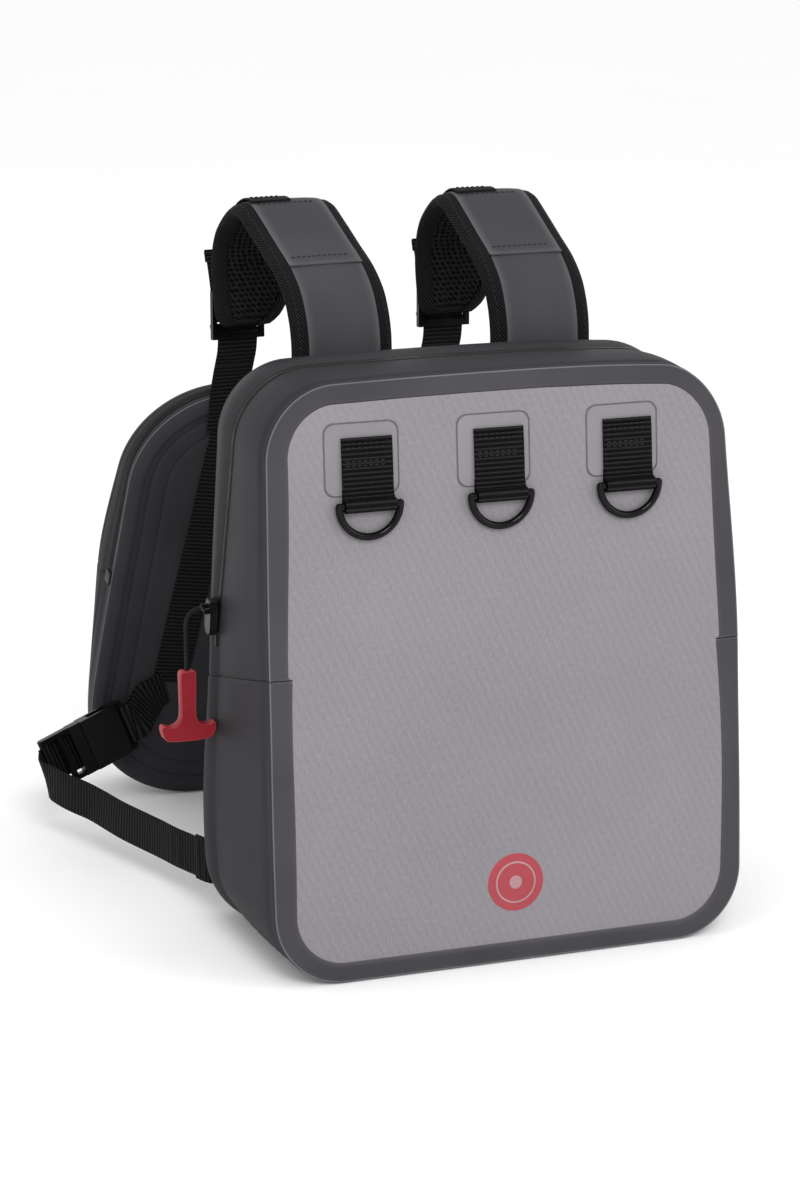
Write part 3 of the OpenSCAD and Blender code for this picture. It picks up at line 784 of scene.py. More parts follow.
def main_outline():
    """Rounded rectangle seen from the front, with its outward normals, once round."""
    h, top, r = HALF, PACK_H, CORNER
    side_z = np.concatenate([np.linspace(r, 144, 22)[1:], np.linspace(145, SEAM, 32),
                             np.linspace(SEAM, 190, 14)[1:], np.linspace(190, top - r, 24)[1:-1]])
    flat_x = np.linspace(-h + r, h - r, 44)[1:-1]
    return outline_of([straight(flat_x, 0, (0, -1)), arc(h - r, r, r, -90, 0, 18),
                       straight(h, side_z, (1, 0)), arc(h - r, top - r, r, 0, 90, 20),
                       straight(-flat_x, top, (0, 1)), arc(-h + r, top - r, r, 90, 180, 20),
                       straight(-h, side_z[::-1], (-1, 0)), arc(-h + r, r, r, 180, 270, 18)])


def main_shape(x, y, z):
    """Small departures of the sewn shape from the plain one."""
    high, top = step(170, 335, z), step(250, 338, z)
    right, left, off = np.clip(x / HALF, 0, 1), np.clip(-x / HALF, 0, 1), np.clip(np.abs(x) / HALF, 0, 1)
    rear = step(FRONT_0 + 20, BACK_0 - 20, y)
    low = np.exp(-((z - 78) / 62) ** 2)
    x2 = x - 8.5 * high * right + 2.0 * high * left
    x2 = x2 + 3.2 * high * left * rear - 2.0 * high * right * rear
    x2 = x2 + np.sign(x) * off ** 4 * low * (0.8 + 3.4 * rear)
    z2 = z + 2.4 * (1 - off ** 2) * top - 4.0 * right ** 3 * step(230, 338, z)
    z2 = z2 - 2.5 * top * step(10, 70, y)
    return x2, y, np.maximum(z2, 0.02)


def border_width(p, n):
    side = np.abs(n[:, 0])
    z = p[:, 1]
    notch = 2.4 * step(SEAM + 1.6, SEAM - 0.6, z) * np.exp(-np.clip(SEAM - z, 0, None) / 45)
    return 11.2 + side * (notch + 0.9 * np.sin(z / 31 + np.sign(n[:, 0])) + 0.9)


def weld_line(y):
    return SEAM + 0.6 - 25 * np.clip((y - FRONT_0 - 12) / 112, 0, 1)


def main_rows(p, n):
    """(inset, y, row name) rings from the panel's edge, over the front edge, to the middle of the back."""
    z, wide = p[:, 1], border_width(p, n)
    even, rows, front = np.ones(len(z)), [], front_y(z)
    for inset, lift in ((wide + 0.9, 0.4), (wide + 0.35, 1.05), (wide - 0.3, 1.55), (wide - 1.2, 1.7),
                        (wide - 3, 1.5), (wide * 0.55, 1.1), (wide * 0.38, 0.9)):
        rows.append((inset, front - lift - crown(p[:, 0], z) * np.clip(inset / wide, 0, 1), "border"))
    r = 3.6
    for a in np.linspace(0, 90, 13):
        s, c = sin_cos(a)
        ridge = 0.85 * math.exp(-((a - 40) / 19) ** 2)
        rows.append((r * (1 - s) - ridge * s, front - 0.2 + r * (1 - c) - ridge * c - 0.4 * c,
                     "edge" if a < EDGE_ENDS else "turn"))
    start, end = front + r - 0.2, zip_y(z) - 0.3
    steps = [np.linspace(0, 0.2, 8)[1:], np.linspace(0.2, 0.93, 16)[1:], np.linspace(0.93, 1, 5)[1:]]
    for m in np.concatenate(steps):
        groove = 1.3 * math.exp(-((m - 0.055) / 0.05) ** 2)
        belly = 1.2 * math.sin(math.pi * m) ** 1.3
        rows.append((groove - belly + 0.7 * m ** 6, start + m * (end - start), "wall"))
    rows.append((0.7 * even, zip_y(z), "zip"))
    r = 15.0
    start, end = zip_y(z), back_y(z) - r
    for m in np.linspace(0, 1, 10)[1:]:
        rows.append((0.7 * (1 - m) ** 4 - 1.8 * math.sin(math.pi * m), start + m * (end - start), "rear"))
    for a in np.linspace(0, 90, 10)[1:]:
        s, c = sin_cos(a)
        rows.append((r * (1 - c), back_y(z) - r + r * s, "rear"))
    for inset, dip in ((17, 0.1), (18.2, 0.9), (19.4, 0.9), (20.6, -0.1), (24, -0.9), (30, -1.5)):
        rows.append((inset * even, back_y(z) - dip, "rear"))
    return rows


def build_shell(outline, row_list, shape, relief, fill, fill_y):
    """A closed grid of points through the rows, filled to the middle of the back, and its row names."""
    p, n = outline
    grid = []
    for inset, y, _ in row_list:
        q = p - n * np.broadcast_to(np.asarray(inset, float), len(p))[:, None]
        grid.append(np.stack([q[:, 0], np.broadcast_to(y, len(p)), q[:, 1]], -1))
    last = grid[-1]
    centre = (last.min(0) + last.max(0)) / 2
    for f in np.linspace(1, 0.02, fill)[1:]:
        ring = centre + f * (last - centre)
        ring[:, 1] = fill_y(ring[:, 0], ring[:, 2], f)
        grid.append(ring)
    names = [name for _, _, name in row_list] + ["rear"] * (fill - 1)
    grid = relief(np.array(grid), n)
    return np.stack(shape(grid[..., 0], grid[..., 1], grid[..., 2]), -1), names


def weld_relief(grid, n, line, seam, spread, depth, swell, fade, on_wall):
    """A dent along the weld line of both walls, with the cloth swelling a little below it."""
    side = np.abs(n[None, :, 0]) ** 2
    grid[..., 2] += (line - seam) * np.exp(-((grid[..., 2] - seam) / spread) ** 2) * side
    gap = grid[..., 2] - line
    below = step(0.8, -1.6, gap) * np.exp(-np.clip(-gap, 0, None) / fade)
    push = -depth * np.exp(-(gap / 0.9) ** 2) + swell * below
    grid[..., 0] += np.sign(grid[..., 0]) * push * side * on_wall(grid[..., 1], grid[..., 2])
    return grid


def main_relief(grid, n):
    return weld_relief(grid, n, weld_line(grid[..., 1]), SEAM, 45, 0.75, 0.5, 16, lambda y, z: step(
        front_y(z) + 1.5, front_y(z) + 5, y) * step(back_y(z) - 3, back_y(z) - 12, y))


def pack_skins(prefix, grid, names, line, seam, weld_rows):
    """Body skin, flap skin and fold lines of one pack. Returns the row of the zip's closing line."""
    rows, cols = grid.shape[:2]
    verts, faces = grid.reshape(-1, 3), ring_faces(rows, cols)
    normals = vertex_normals(verts, faces)
    if normals[np.argmin(verts[:, 0])][0] > 0:
        faces, normals = flipped(faces), -normals
    z, zip_row = line[0][:, 1], names.index("zip")
    cell_row, cell_z = np.repeat(np.arange(rows - 1), cols), np.tile((z + np.roll(z, -1)) / 2, rows - 1)
    skin(f"{prefix}_body_skin", grid, (faces, normals), (cell_row >= zip_row) | (cell_z < seam), names,
         f"{prefix}_pack", (f"{prefix}_tub", f"{prefix}_back_shell"))
    skin(f"{prefix}_front_skin", grid, (faces, normals), (cell_row < zip_row - 1) & (cell_z > seam), names,
         f"{prefix}_front", f"{prefix}_upper_shell")
    fold_lines(prefix, grid, line, seam, names.index("turn") - 1, zip_row + weld_rows)
    return zip_row


EDGE_ENDS = 44
outline = main_outline()
main_grid, main_names = build_shell(outline, main_rows(*outline), main_shape, main_relief, 16,
                                    lambda x, z, f: back_y(z) + 1.5 + 2.0 * (1 - f ** 2))
pack_skins("main", main_grid, main_names, outline, SEAM, 12)


def same(points):
    return np.asarray(points, float)


def panel(prefix, line, inset, surface, shape, fold, place=same, flip=False):
    """The woven face, one sheet inside the welded border."""
    p, n = line
    q = p - n * np.reshape(inset, (-1, 1))
    left, right = q[q[:, 0] < 0], q[q[:, 0] > 0]
    left, right = left[np.argsort(left[:, 1])], right[np.argsort(right[:, 1])]
    turn = np.cos(np.linspace(math.pi, 0, 130))
    heights = q[:, 1].min() + (q[:, 1].max() - q[:, 1].min()) * (1 + turn) / 2
    rows, cols, layers = len(heights), 60, []
    for depth in (0.0, 0.9):
        verts = []
        for z in heights:
            xl, xr = np.interp(z, left[:, 1], left[:, 0]), np.interp(z, right[:, 1], right[:, 0])
            verts += [(x, surface(x, z) + (-depth if flip else depth), z) for x in np.linspace(xl, xr, cols)]
        layers.append(place(np.stack(shape(*np.array(verts).T), -1)))
    count = rows * cols
    quads = flipped(open_faces(rows, cols)) if flip else open_faces(rows, cols)
    faces = quads + [tuple(i + count for i in reversed(f)) for f in quads]
    rim = list(range(cols)) + [r * cols + cols - 1 for r in range(1, rows)] \
        + list(range(count - 2, count - cols - 1, -1)) + [r * cols for r in range(rows - 2, 0, -1)]
    faces += [(a, b, b + count, a + count) for a, b in zip(rim, rim[1:] + rim[:1])]
    obj = make(f"{prefix}_weave", np.concatenate(layers), faces, WOVEN, None,
               (f"{prefix}_lower_panel", f"{prefix}_upper_panel"), angle=40, fix=True)
    ends = [tuple(place([(0, surface(0, z), z)])[0] * MM) for z in (fold - 1.5, fold + 4)]
    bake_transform(obj)


def zip_half(prefix, part, z_from, width, side, line, at_y, shape, place=same):
    """One half of the zip, lying along the wall on one side of the closing line."""
    p, n = line
    z, count = p[:, 1], len(p)
    first = int(np.argmin(z))
    run = [k % count for k in range(first, first + count) if z[k % count] >= z_from]
    section = [(0.0, -0.5), (0.0, 0.75), (0.35, 1.05), (1.0, 1.1), (width - 1.6, 0.85), (width - 0.5, 0.55),
               (width, 0.0), (width - 0.1, -0.6)]
    verts, uv = [], []
    for k, i in enumerate(run):
        for a, b in section:
            q = p[i] + n[i] * (b - 0.55)
            verts.append((q[0], at_y(z[i]) + side * (a + 0.12), q[1]))
            uv.append((a, k * 3.0))
    verts = place(np.stack(shape(*np.array(verts).T), -1))
    faces = ring_faces(len(run), len(section)) + end_caps(len(run), len(section))
    body = f"{prefix}_front" if part == "front" else f"{prefix}_pack"
    make(f"{prefix}_zip_half_{part}", verts, faces, ZIP, body, f"{prefix}_zip_{part}", uv, 50,
         fix=True)


panel("main", outline, border_width(*outline) + 0.2, face_y, main_shape, SEAM)
zip_half("main", "rear", SEAM + 5, 2.8, 1, outline, zip_y, main_shape)
zip_half("main", "front", SEAM + 5, 4.6, -1, outline, lambda z: zip_y(z) - 0.3, main_shape)
paint_node("main_zip_docks", ZIP, 0.8)
paint_node("main_slider", PLASTIC, 0.6)

padding, cells, margin = [], 40, 24
for z in np.linspace(margin, PACK_H - margin, cells):
    ends = step(margin, margin + 16, z) * step(PACK_H - margin, PACK_H - margin - 16, z)
    for x in np.linspace(-HALF + 26, HALF - 26, cells):
        quilt = 2.6 * abs(math.sin(math.pi * (x + HALF) / 38)) ** 0.5
        padding.append((x, back_y(z) - 4.2 - quilt * ends, z))
thick_sheet("main_back_padding", padding, open_faces(cells, cells), FOAM, "main_pack",
            "main_stiffener", 1.2, 1)


# ---------- front details ----------

TAB_MID, TAB_PITCH, TAB_W, TAB_TOP = -5.0, 78.0, 30.0, 309.0
PATCH_HALF, PATCH_LOW, PATCH_TOP, PATCH_R, PATCH_CORNER = 22.0, 277.0, 318.0, 6.0, 8
PATCH_LAYERS = [(1.0, -0.4), (1.0, 0.3), (0.99, 0.4), (0.968, 0.4), (0.958, 0.3), (0.9, 0.28), (0.6, 0.28),
                (0.3, 0.28)]
BADGE_X, BADGE_Z = 1, 47
LEAN = math.atan(FRONT_LEAN / PACK_H)
FACE_UP = np.array([0, math.sin(LEAN), math.cos(LEAN)])
FACE_OUT = np.array([0, -math.cos(LEAN), math.sin(LEAN)])


def face_point(x, z, out=0.0):
    """A point on the woven face, lifted off it."""
    zz = z * math.cos(LEAN)
    return np.array([x, face_y(x, zz), zz]) + out * FACE_OUT


def patch(cx):
    """Thin welded film patch with rounded corners and a fine raised outline; layers are (scale, lift)."""
    w, low, high, r = PATCH_HALF, PATCH_LOW, PATCH_TOP, PATCH_R
    corners = ((w - r, low + r, -90), (w - r, high - r, 0), (-w + r, high - r, 90), (-w + r, low + r, 180))
    ring = np.concatenate([arc(x, z, r, a, a + 90, PATCH_CORNER)[0] for x, z, a in corners])
    mid = np.array([0, (low + high) / 2])
    verts = [face_point(cx + a, b, out) for f, out in PATCH_LAYERS for a, b in mid + (ring - mid) * f]
    faces = ring_faces(len(PATCH_LAYERS), len(ring)) + flipped(end_caps(len(PATCH_LAYERS), len(ring)))[1:]
    return verts, flipped(faces), np.zeros((len(verts), 2))


v, f, uv = join([patch(TAB_MID + i * TAB_PITCH - 3) for i in (-1, 0, 1)])
patches = make("tab_patches_film", v, f, FILM, None, "tab_patches", uv, angle=60)
patches.data.materials.append(FILM_LINE)
ring_count = 4 * PATCH_CORNER
for k in range(0, len(f), len(f) // 3):
    for j in range(ring_count, 4 * ring_count):
        patches.data.polygons[k + j].material_index = 1
turn_outwards(patches.data)
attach(patches, "main_front")


def front_tab(i, side):
    """One webbing tab: outer and under layer, stitch rows and its D-ring."""
    cx, node = TAB_MID + i * TAB_PITCH, f"tab_{side}"
    low, high = span(f"d_ring_{side}")
    bar = np.array([cx, (low[1] + high[1]) / 2, high[2] - 2.1])
    outer = [(TAB_TOP + 0.4, 0.9), (300, 1.5), (290, 1.7), (280, 2.0), (275.5, 3.4)]
    loop = [bar + 3.3 * (math.cos(a) * FACE_OUT + math.sin(a) * FACE_UP)
            for a in np.radians([62, 30, 0, -40, -85, -130, -165, -195])]
    path = [face_point(cx, z, out) for z, out in outer] + loop + [face_point(cx, 281, 0.9)]
    ribbon(f"tab_webbing_{side}", path, (1, 0, 0), TAB_W, 1.5, "main_front", node, 90)
    under = [face_point(cx, z, out) for z, out in ((TAB_TOP, 0.3), (297, 0.5), (283, 0.6))]
    ribbon(f"tab_under_{side}", under, (1, 0, 0), TAB_W - 0.6, 1.0, "main_front", node, 20)
    reach = TAB_W / 2 - 1.5
    rows = []
    for z in (306.2, 303.9, 296.4, 294.0):
        line = [face_point(cx + x, z, 2.35) for x in np.linspace(-reach, reach, 14)]
        rows.append(stitch_run(line, FACE_OUT, 2.4, 1.0, 0.4))
    stitches(f"tab_stitches_{side}", rows, "main_front", node)
    ring = paint_node(f"d_ring_{side}", METAL)
    ring.data.polygons.foreach_set("use_smooth", [True] * len(ring.data.polygons))


def disc(name, r0, r1, out, mat):
    """A printed disc or ring on the woven face, between two radii."""
    sides = 72
    radii = [r1, r1 - 0.25] + list(np.linspace(r1 - 0.3, max(r0, 0.3), 5))
    verts = []
    for k, r in enumerate(radii):
        lift = out if k else out - 0.25
        verts += [face_point(BADGE_X + a, BADGE_Z + b, lift) for a, b in circle(r, sides)]
    faces = turned(ring_faces(len(radii), sides))
    if r0 <= 0.3:
        faces.append(tuple(range((len(radii) - 1) * sides, len(radii) * sides)))
    make(name, verts, faces, mat, "main_pack", "badge", fix=True)


for i, side in ((-1, "left"), (0, "centre"), (1, "right")):
    front_tab(i, side)
disc("badge_disc", 0, 17, 0.2, INK)
disc("badge_ring", 11.2, 12.4, 0.34, INK_PALE)
disc("badge_dot", 0, 4.0, 0.34, INK_PALE)


# ---------- shoulder straps ----------

ARCH = [(56, 332), (57, 345), (61, 358), (69, 371), (84, 383), (104, 393), (126, 404), (142, 411),
        (156, 411), (170, 404), (182, 394), (189, 381), (191, 365), (188, 347), (183, 332)]
PAD_HALF, TIP_LENGTH, BAND, STRAP_WEB_W, HANGER_CUT = 31.0, 52.0, 8.6, 26.0, 304.0
# each strap's x, forward shift and turn in degrees at its foot, and its webbing's sideways offset
STRAPS = {"left": (-56.0, 2.0, 4.0, -10.0), "right": (67.0, 0.0, 0.0, -8.0)}
ARC = spline(ARCH, 90)
ARC_S = along(ARC)
ARC_END = ARC_S[-1]
FOLD = float(np.interp(84, ARC[:30, 0], ARC_S[:30]))
APEX = float(ARC_S[np.argmax(ARC[:, 1])])
LOCK_S = float(np.interp(-365, -ARC[60:, 1], ARC_S[60:]))


def strap_place(side, points):
    """From a strap's own frame to the row frame."""
    x0, out, yaw, _ = STRAPS[side]
    s, c = sin_cos(yaw)
    p = np.asarray(points, float)
    x, y = p[..., 0], p[..., 1] - 56
    return np.stack([x0 + x * c - y * s, 56 + out + x * s + y * c, p[..., 2]], -1)


def strap_half(s):
    """Left and right half widths along the strap: the tip narrows on its right side."""
    tip = np.clip((s - (ARC_END - TIP_LENGTH)) / TIP_LENGTH, 0, 1)
    end = np.clip((tip - 0.86) / 0.14, 0, 1) ** 2
    return PAD_HALF - 5.0 * end, PAD_HALF - 24 * tip ** 1.6 - 4.0 * end


def strap_section(s, kind):
    """Closed section of one layer of the strap, at a length along the arch."""
    left, right = strap_half(s)
    mid, h = (right - left) / 2, (right + left) / 2
    thin = 1.0 - 0.35 * np.clip((s - ARC_END + 10) / 10, 0, 1)

    def top(a):
        return -0.6 - 2.4 * abs(a / h) ** 3.5

    def low(a):
        return (-9.4 + 3.2 * abs(a / h) ** 3) * thin

    half_way = (top(h) + low(h)) / 2
    if kind == "pad":
        xs = np.linspace(h - 0.6, -h + 0.6, 17)
        return [(mid + a, top(a)) for a in xs] + [(mid - h, half_way)] \
            + [(mid + a, low(a)) for a in xs[::-1]] + [(mid + h, half_way)]
    if kind in ("lower", "upper"):
        edge, lift, thick = (h - BAND + 1.0, 0.25, 0.9) if kind == "lower" else (h - BAND + 0.5, 0.9, 1.1)
        xs = np.linspace(edge, -edge, 13)
        return [(mid + a, top(a) + lift + thick) for a in xs] + [(mid + a, top(a) + lift) for a in xs[::-1]]
    in_edge = h - BAND
    outer = [(in_edge, top(in_edge) + 1.35), (in_edge + 0.5, top(in_edge) + 1.75),
             (h - 5.5, top(h - 5.5) + 1.5), (h - 3, top(h - 3) + 1.35), (h - 0.9, top(h) + 0.75),
             (h + 0.35, top(h) - 0.9), (h + 0.6, half_way),
             (h + 0.35, low(h) + 0.6), (h - 1.0, low(h - 1) - 0.75), (h - 3.5, low(h - 3.5) - 0.95),
             (h - 6, low(h - 6) - 1.0), (in_edge + 0.6, low(in_edge) - 0.95), (in_edge, low(in_edge) - 0.5)]
    inner = [(in_edge + 0.6, low(in_edge) + 0.6), (h - 2.2, low(h - 2)), (h - 1.6, half_way),
             (h - 2.2, top(h - 2)), (in_edge + 0.6, top(in_edge) + 0.2)]
    sign = 1 if kind == "right" else -1
    loop = [(mid + sign * a, b) for a, b in outer + inner]
    return loop if sign > 0 else loop[::-1]


def strap_sweep(side, kind, s0, s1):
    """Sweeps one layer of the strap between two lengths along the arch."""
    pick = np.linspace(s0, s1, max(6, int((s1 - s0) / 2.6)))
    path = np.insert(sample(pick, ARC_S, ARC), 0, 0.0, axis=1)
    t = tangents(path)
    verts, uv = [], []
    for k, s in enumerate(pick):
        q = np.array(strap_section(s, kind))
        verts.append(path[k] + q[:, :1] * (1.0, 0, 0) + q[:, 1:] * (0.0, -t[k, 2], t[k, 1]))
        uv.append(np.stack([along(q), np.full(len(q), s)], -1))
    faces = ring_faces(len(pick), len(q)) + end_caps(len(pick), len(q))
    return strap_place(side, np.concatenate(verts)), faces, np.concatenate(uv)


def arch_at(s, x, lift):
    """A point above the arch's line, at a length along it."""
    (y, z), (y2, z2) = sample([s, s + 1], ARC_S, ARC)
    t = np.array([y2 - y, z2 - z]) / max(math.hypot(y2 - y, z2 - z), 1e-9)
    return np.array([x, y - t[1] * lift, z + t[0] * lift])


def puff(obj, held, pressure=4.0, cap=2.4, frames=20):
    """Fills a padded piece by cloth simulation, sewn edges held and movement capped in millimetres."""
    group = obj.vertex_groups.new(name="sewn")
    group.add([int(i) for i in np.where(held)[0]], 1.0, "REPLACE")
    cloth = obj.modifiers.new("fill", "CLOTH")
    data = cloth.settings
    data.quality, data.mass, data.air_damping = 6, 0.25, 2.0
    data.tension_stiffness = data.compression_stiffness = 40
    data.shear_stiffness, data.bending_stiffness = 12, 2.5
    data.use_pressure, data.uniform_pressure_force = True, pressure
    data.vertex_group_mass = "sewn"
    data.effector_weights.gravity = 0
    cloth.collision_settings.use_collision = False
    cloth.point_cache.frame_start, cloth.point_cache.frame_end = 1, frames
    scene = bpy.context.scene
    for k in range(1, frames + 1):
        scene.frame_set(k)
    view = obj.evaluated_get(bpy.context.evaluated_depsgraph_get())
    moved = np.array([v.co for v in view.data.vertices])
    plain = np.array([v.co for v in obj.data.vertices])
    obj.modifiers.remove(cloth)
    shift = moved - plain
    far = np.maximum(np.linalg.norm(shift, axis=1, keepdims=True), 1e-12)
    shift *= np.minimum(1, cap * MM / far)
    obj.data.vertices.foreach_set("co", (plain + shift).ravel())
    obj.data.update()
    scene.frame_set(1)
    print("fill", obj.name, "largest movement mm", round(float(np.linalg.norm(shift, axis=1).max() / MM), 2))


def strap_pad(side):
    """Filled pad, its bound edges, the two cover layers, the lip between them and the stitches."""
    body, pad, cover = "shoulder_straps", f"strap_pad_{side}", f"strap_cover_{side}"
    v, f, uv = strap_sweep(side, "pad", 0.5, ARC_END - 0.5)
    obj = make(f"{pad}_mesh", v, f, MESH, None, pad, uv, angle=60, fix=True)
    sewn = np.abs(np.array(strap_section(0, "pad"))[:, 0]) > 24
    held = np.tile(sewn, len(v) // len(sewn))
    held[:2 * len(sewn)] = held[-3 * len(sewn):] = True
    puff(obj, held)
    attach(obj, body)
    for layer, s0, s1 in (("lower", 0, FOLD + 7), ("upper", FOLD, ARC_END - 2)):
        v, f, uv = strap_sweep(side, layer, s0, s1)
        make(f"{cover}_{layer}", v, f, TPU, body, cover, uv, angle=50, fix=True)
    for edge in ("left", "right"):
        v, f, uv = strap_sweep(side, edge, 0, ARC_END + 0.6)
        make(f"strap_{side}_binding_{edge}", v, f, TWILL, body, pad, uv, angle=60, fix=True)
    lip = strap_place(side, [arch_at(FOLD - 0.2, x, 1.15) for x in np.linspace(-22.6, 22.6, 24)])
    v, f, uv = sweep(lip, (0, 0, 1), circle(0.85, 10, 0.75 / 0.85))
    make(f"{cover}_fold", v, f, TPU, body, cover, uv, fix=True)
    runs = []
    for s in (FOLD + 6.5, APEX - 8.0):
        line = strap_place(side, [arch_at(s, x, 1.5) for x in np.linspace(-20, 20, 20)])
        runs.append(stitch_run(line, (0, -0.5, 0.86), 2.2, 1.1, 0.34))
    edge_s = np.linspace(2, ARC_END - 60, 60)
    normals = unit(np.stack([arch_at(s, 0, 2) - arch_at(s, 0, 0) for s in edge_s]))
    for x in (-27.5, 27.5):
        line = strap_place(side, [arch_at(s, x, -0.95) for s in edge_s])
        runs.append(stitch_run(line, normals, 2.2, 1.6, 0.3))
    stitches(f"{cover}_stitches", runs, body, cover)


def strap_webbing(side):
    """Webbing sewn to the strap and round the lock's bar, the lock, its tail and the hanger."""
    _, _, yaw, off = STRAPS[side]
    s, c = sin_cos(yaw)
    across, web, lock = (c, s, 0), f"strap_webbing_{side}", f"lock_{side}"
    line = [arch_at(s, off, 2.3) for s in np.linspace(APEX - 6, LOCK_S - 6, 12)]
    loop = [(off, 199 + 2.9 * math.cos(a), 350 + 2.9 * math.sin(a))
            for a in np.radians([35, 0, -45, -90, -140, -180, -215])]
    route = strap_place(side, line + [(off, 194.8, 364), (off, 199.6, 356)] + loop)
    ribbon(f"{web}_strip", route, across, STRAP_WEB_W, 1.3, "shoulder_straps", web, 110)
    runs = []
    for s in (APEX + 1.5, LOCK_S - 12, LOCK_S - 17):
        row = strap_place(side, [arch_at(s, off + x, 3.1) for x in np.linspace(-11, 11, 12)])
        runs.append(stitch_run(row, unit(arch_at(s, 0, 2) - arch_at(s, 0, 0)), radius=0.36))
    stitches(f"{web}_stitches", runs, "shoulder_straps", web)
    paint_node(f"ladder_lock_{side}", PLASTIC, 0.55)

    def placed(points):
        return strap_place(side, [(off, y, z) for y, z in points])

    tail = placed([(205.2, 334), (206.5, 340), (209, 346), (211.5, 354), (214.5, 363), (219, 373.5)])
    hem = placed([(217.4, 369.5), (218.6, 372.5), (219.8, 374), (220.8, 373), (219.8, 370), (218.8, 367)])
    ribbon(f"strap_tail_{side}_web", tail, across, STRAP_WEB_W, 1.4, lock, f"strap_tail_{side}", 44)
    ribbon(f"strap_tail_{side}_hem", hem, across, STRAP_WEB_W, 1.3, lock, f"strap_tail_{side}", 24)
    hang = spline(placed([(199.2, 323.5), (199.4, 319.5), (201, 313), (205, 305), (209, 297), (213, 287),
                          (217.4, 271), (220.6, 261)]), 50)
    cut = int(np.argmin(np.abs(hang[:, 2] - HANGER_CUT)))
    for part, path, a, b, start, stop, node in (
            ("upper", hang[:cut + 1], lock, "shoulder_straps", hang[4], hang[cut - 1],
             f"hanger_webbing_{side}"),
            ("lower", hang[cut:], "shoulder_straps", "chest_pack", hang[cut + 1], hang[-9], ())):
        obj = ribbon(f"hanger_web_{side}_{part}", path, across, STRAP_WEB_W, 1.4, None, node, 30)
        turn_outwards(obj.data)
        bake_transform(obj)


for side in STRAPS:
    strap_pad(side)
    strap_webbing(side)

low, high = span("strap_anchor_panel")
yoke, rows, cols = [], 30, 70
for z in np.linspace(low[2], high[2], rows):
    rise = float(step(low[2] + 18, high[2] - 6, z))
    for x in np.linspace(low[0], high[0], cols):
        pad = max(float(step(36, 28, abs(x - x0))) for x0, *_ in STRAPS.values())
        edge = float(step(0, 5, min(x - low[0], high[0] - x, z - low[2], high[2] - z + 4)))
        yoke.append((x, back_y(z) + 0.4 + 1.6 * edge + pad * 5.5 * rise, z))
thick_sheet("strap_anchor_yoke", yoke, turned(open_faces(rows, cols)), TPU, "main_pack",
            "strap_anchor_panel", 1.4, -1)
stitches("strap_anchor_stitches",
         [stitch_run([(x, back_y(z) + 2.4, z) for x in np.linspace(low[0] + 6, high[0] - 6, 60)], (0, 1, 0),
                     2.4, 1.2, 0.36) for z in (low[2] + 5, low[2] + 8)], "main_pack", "strap_anchor_panel")


# ---------- chest pack, in its own frame: y = 0 is the inner face, z runs up along it ----------

CHEST_Y, CHEST_TILT, CHEST_H = 300.0, math.radians(16), 292.0
CHEST_SEAM, CHEST_ZIP, CHEST_HALF = 165.0, 12.0, 152.0
CHEST_LOW, CHEST_TOP, CHEST_FLANK = (75.0, 77.0, 77.0), (72.0, 228.0, 64.0), 6.076


def chest_place(points):
    p = np.asarray(points, float)
    c, s = math.cos(CHEST_TILT), math.sin(CHEST_TILT)
    return np.stack([p[..., 0], CHEST_Y + p[..., 1] * c - p[..., 2] * s, p[..., 1] * s + p[..., 2] * c], -1)


def chest_front(z):
    return 62.0 - 38.0 * z / CHEST_H


def chest_outline():
    """Wide rounded foot, sloping flanks and a rounder head, with outward normals, once round."""
    (lx, lz, lr), (tx, tz, tr), a = CHEST_LOW, CHEST_TOP, CHEST_FLANK
    right_low, n_low = arc(lx, lz, lr, -90, a, 34)
    right_top, n_top = arc(tx, tz, tr, a, 90, 34)
    z = np.concatenate([np.linspace(right_low[-1][1], 145, 16)[1:], np.linspace(145, 175, 30)[1:],
                        np.linspace(175, right_top[0][1], 14)[1:-1]])
    (x0, z0), (x1, z1) = right_low[-1], right_top[0]
    flank = np.stack([np.interp(z, [z0, z1], [x0, x1]), z], -1)
    n_flank = np.tile(n_low[-1], (len(z), 1))
    low_x, top_x = np.linspace(-lx, lx, 44)[1:-1], np.linspace(tx, -tx, 40)[1:-1]
    turn = np.array([-1.0, 1.0])
    return outline_of([straight(low_x, 0, (0, -1)), (right_low, n_low), (flank, n_flank), (right_top, n_top),
                       straight(top_x, CHEST_H, (0, 1)), (right_top[::-1] * turn, n_top[::-1] * turn),
                       (flank[::-1] * turn, n_flank[::-1] * turn),
                       (right_low[::-1] * turn, n_low[::-1] * turn)])


def chest_shape(x, y, z):
    """The outer half narrows with depth and bulges a little at mid height."""
    depth = np.clip(y - CHEST_ZIP, 0, None)
    out = 3.2 * np.sin(math.pi * np.clip(depth / 46, 0, 1)) * np.exp(-((z - 170) / 62) ** 2)
    out = out * np.clip(np.abs(x) / 140, 0, 1) ** 4
    limit = CHEST_HALF + 1.6 - 0.37 * depth
    ax = np.abs(x) + out
    ax = (ax + limit - np.sqrt((ax - limit) ** 2 + 16)) / 2 + 8 / np.sqrt((limit + 4) ** 2 + 16)
    return np.sign(x) * np.clip(ax, 0, None), y, z


def chest_crown(x, z):
    return 2.6 * np.clip(1 - (x / 130) ** 2, 0, 1) * np.clip(1 - ((z - 146) / 146) ** 2, 0, 1)


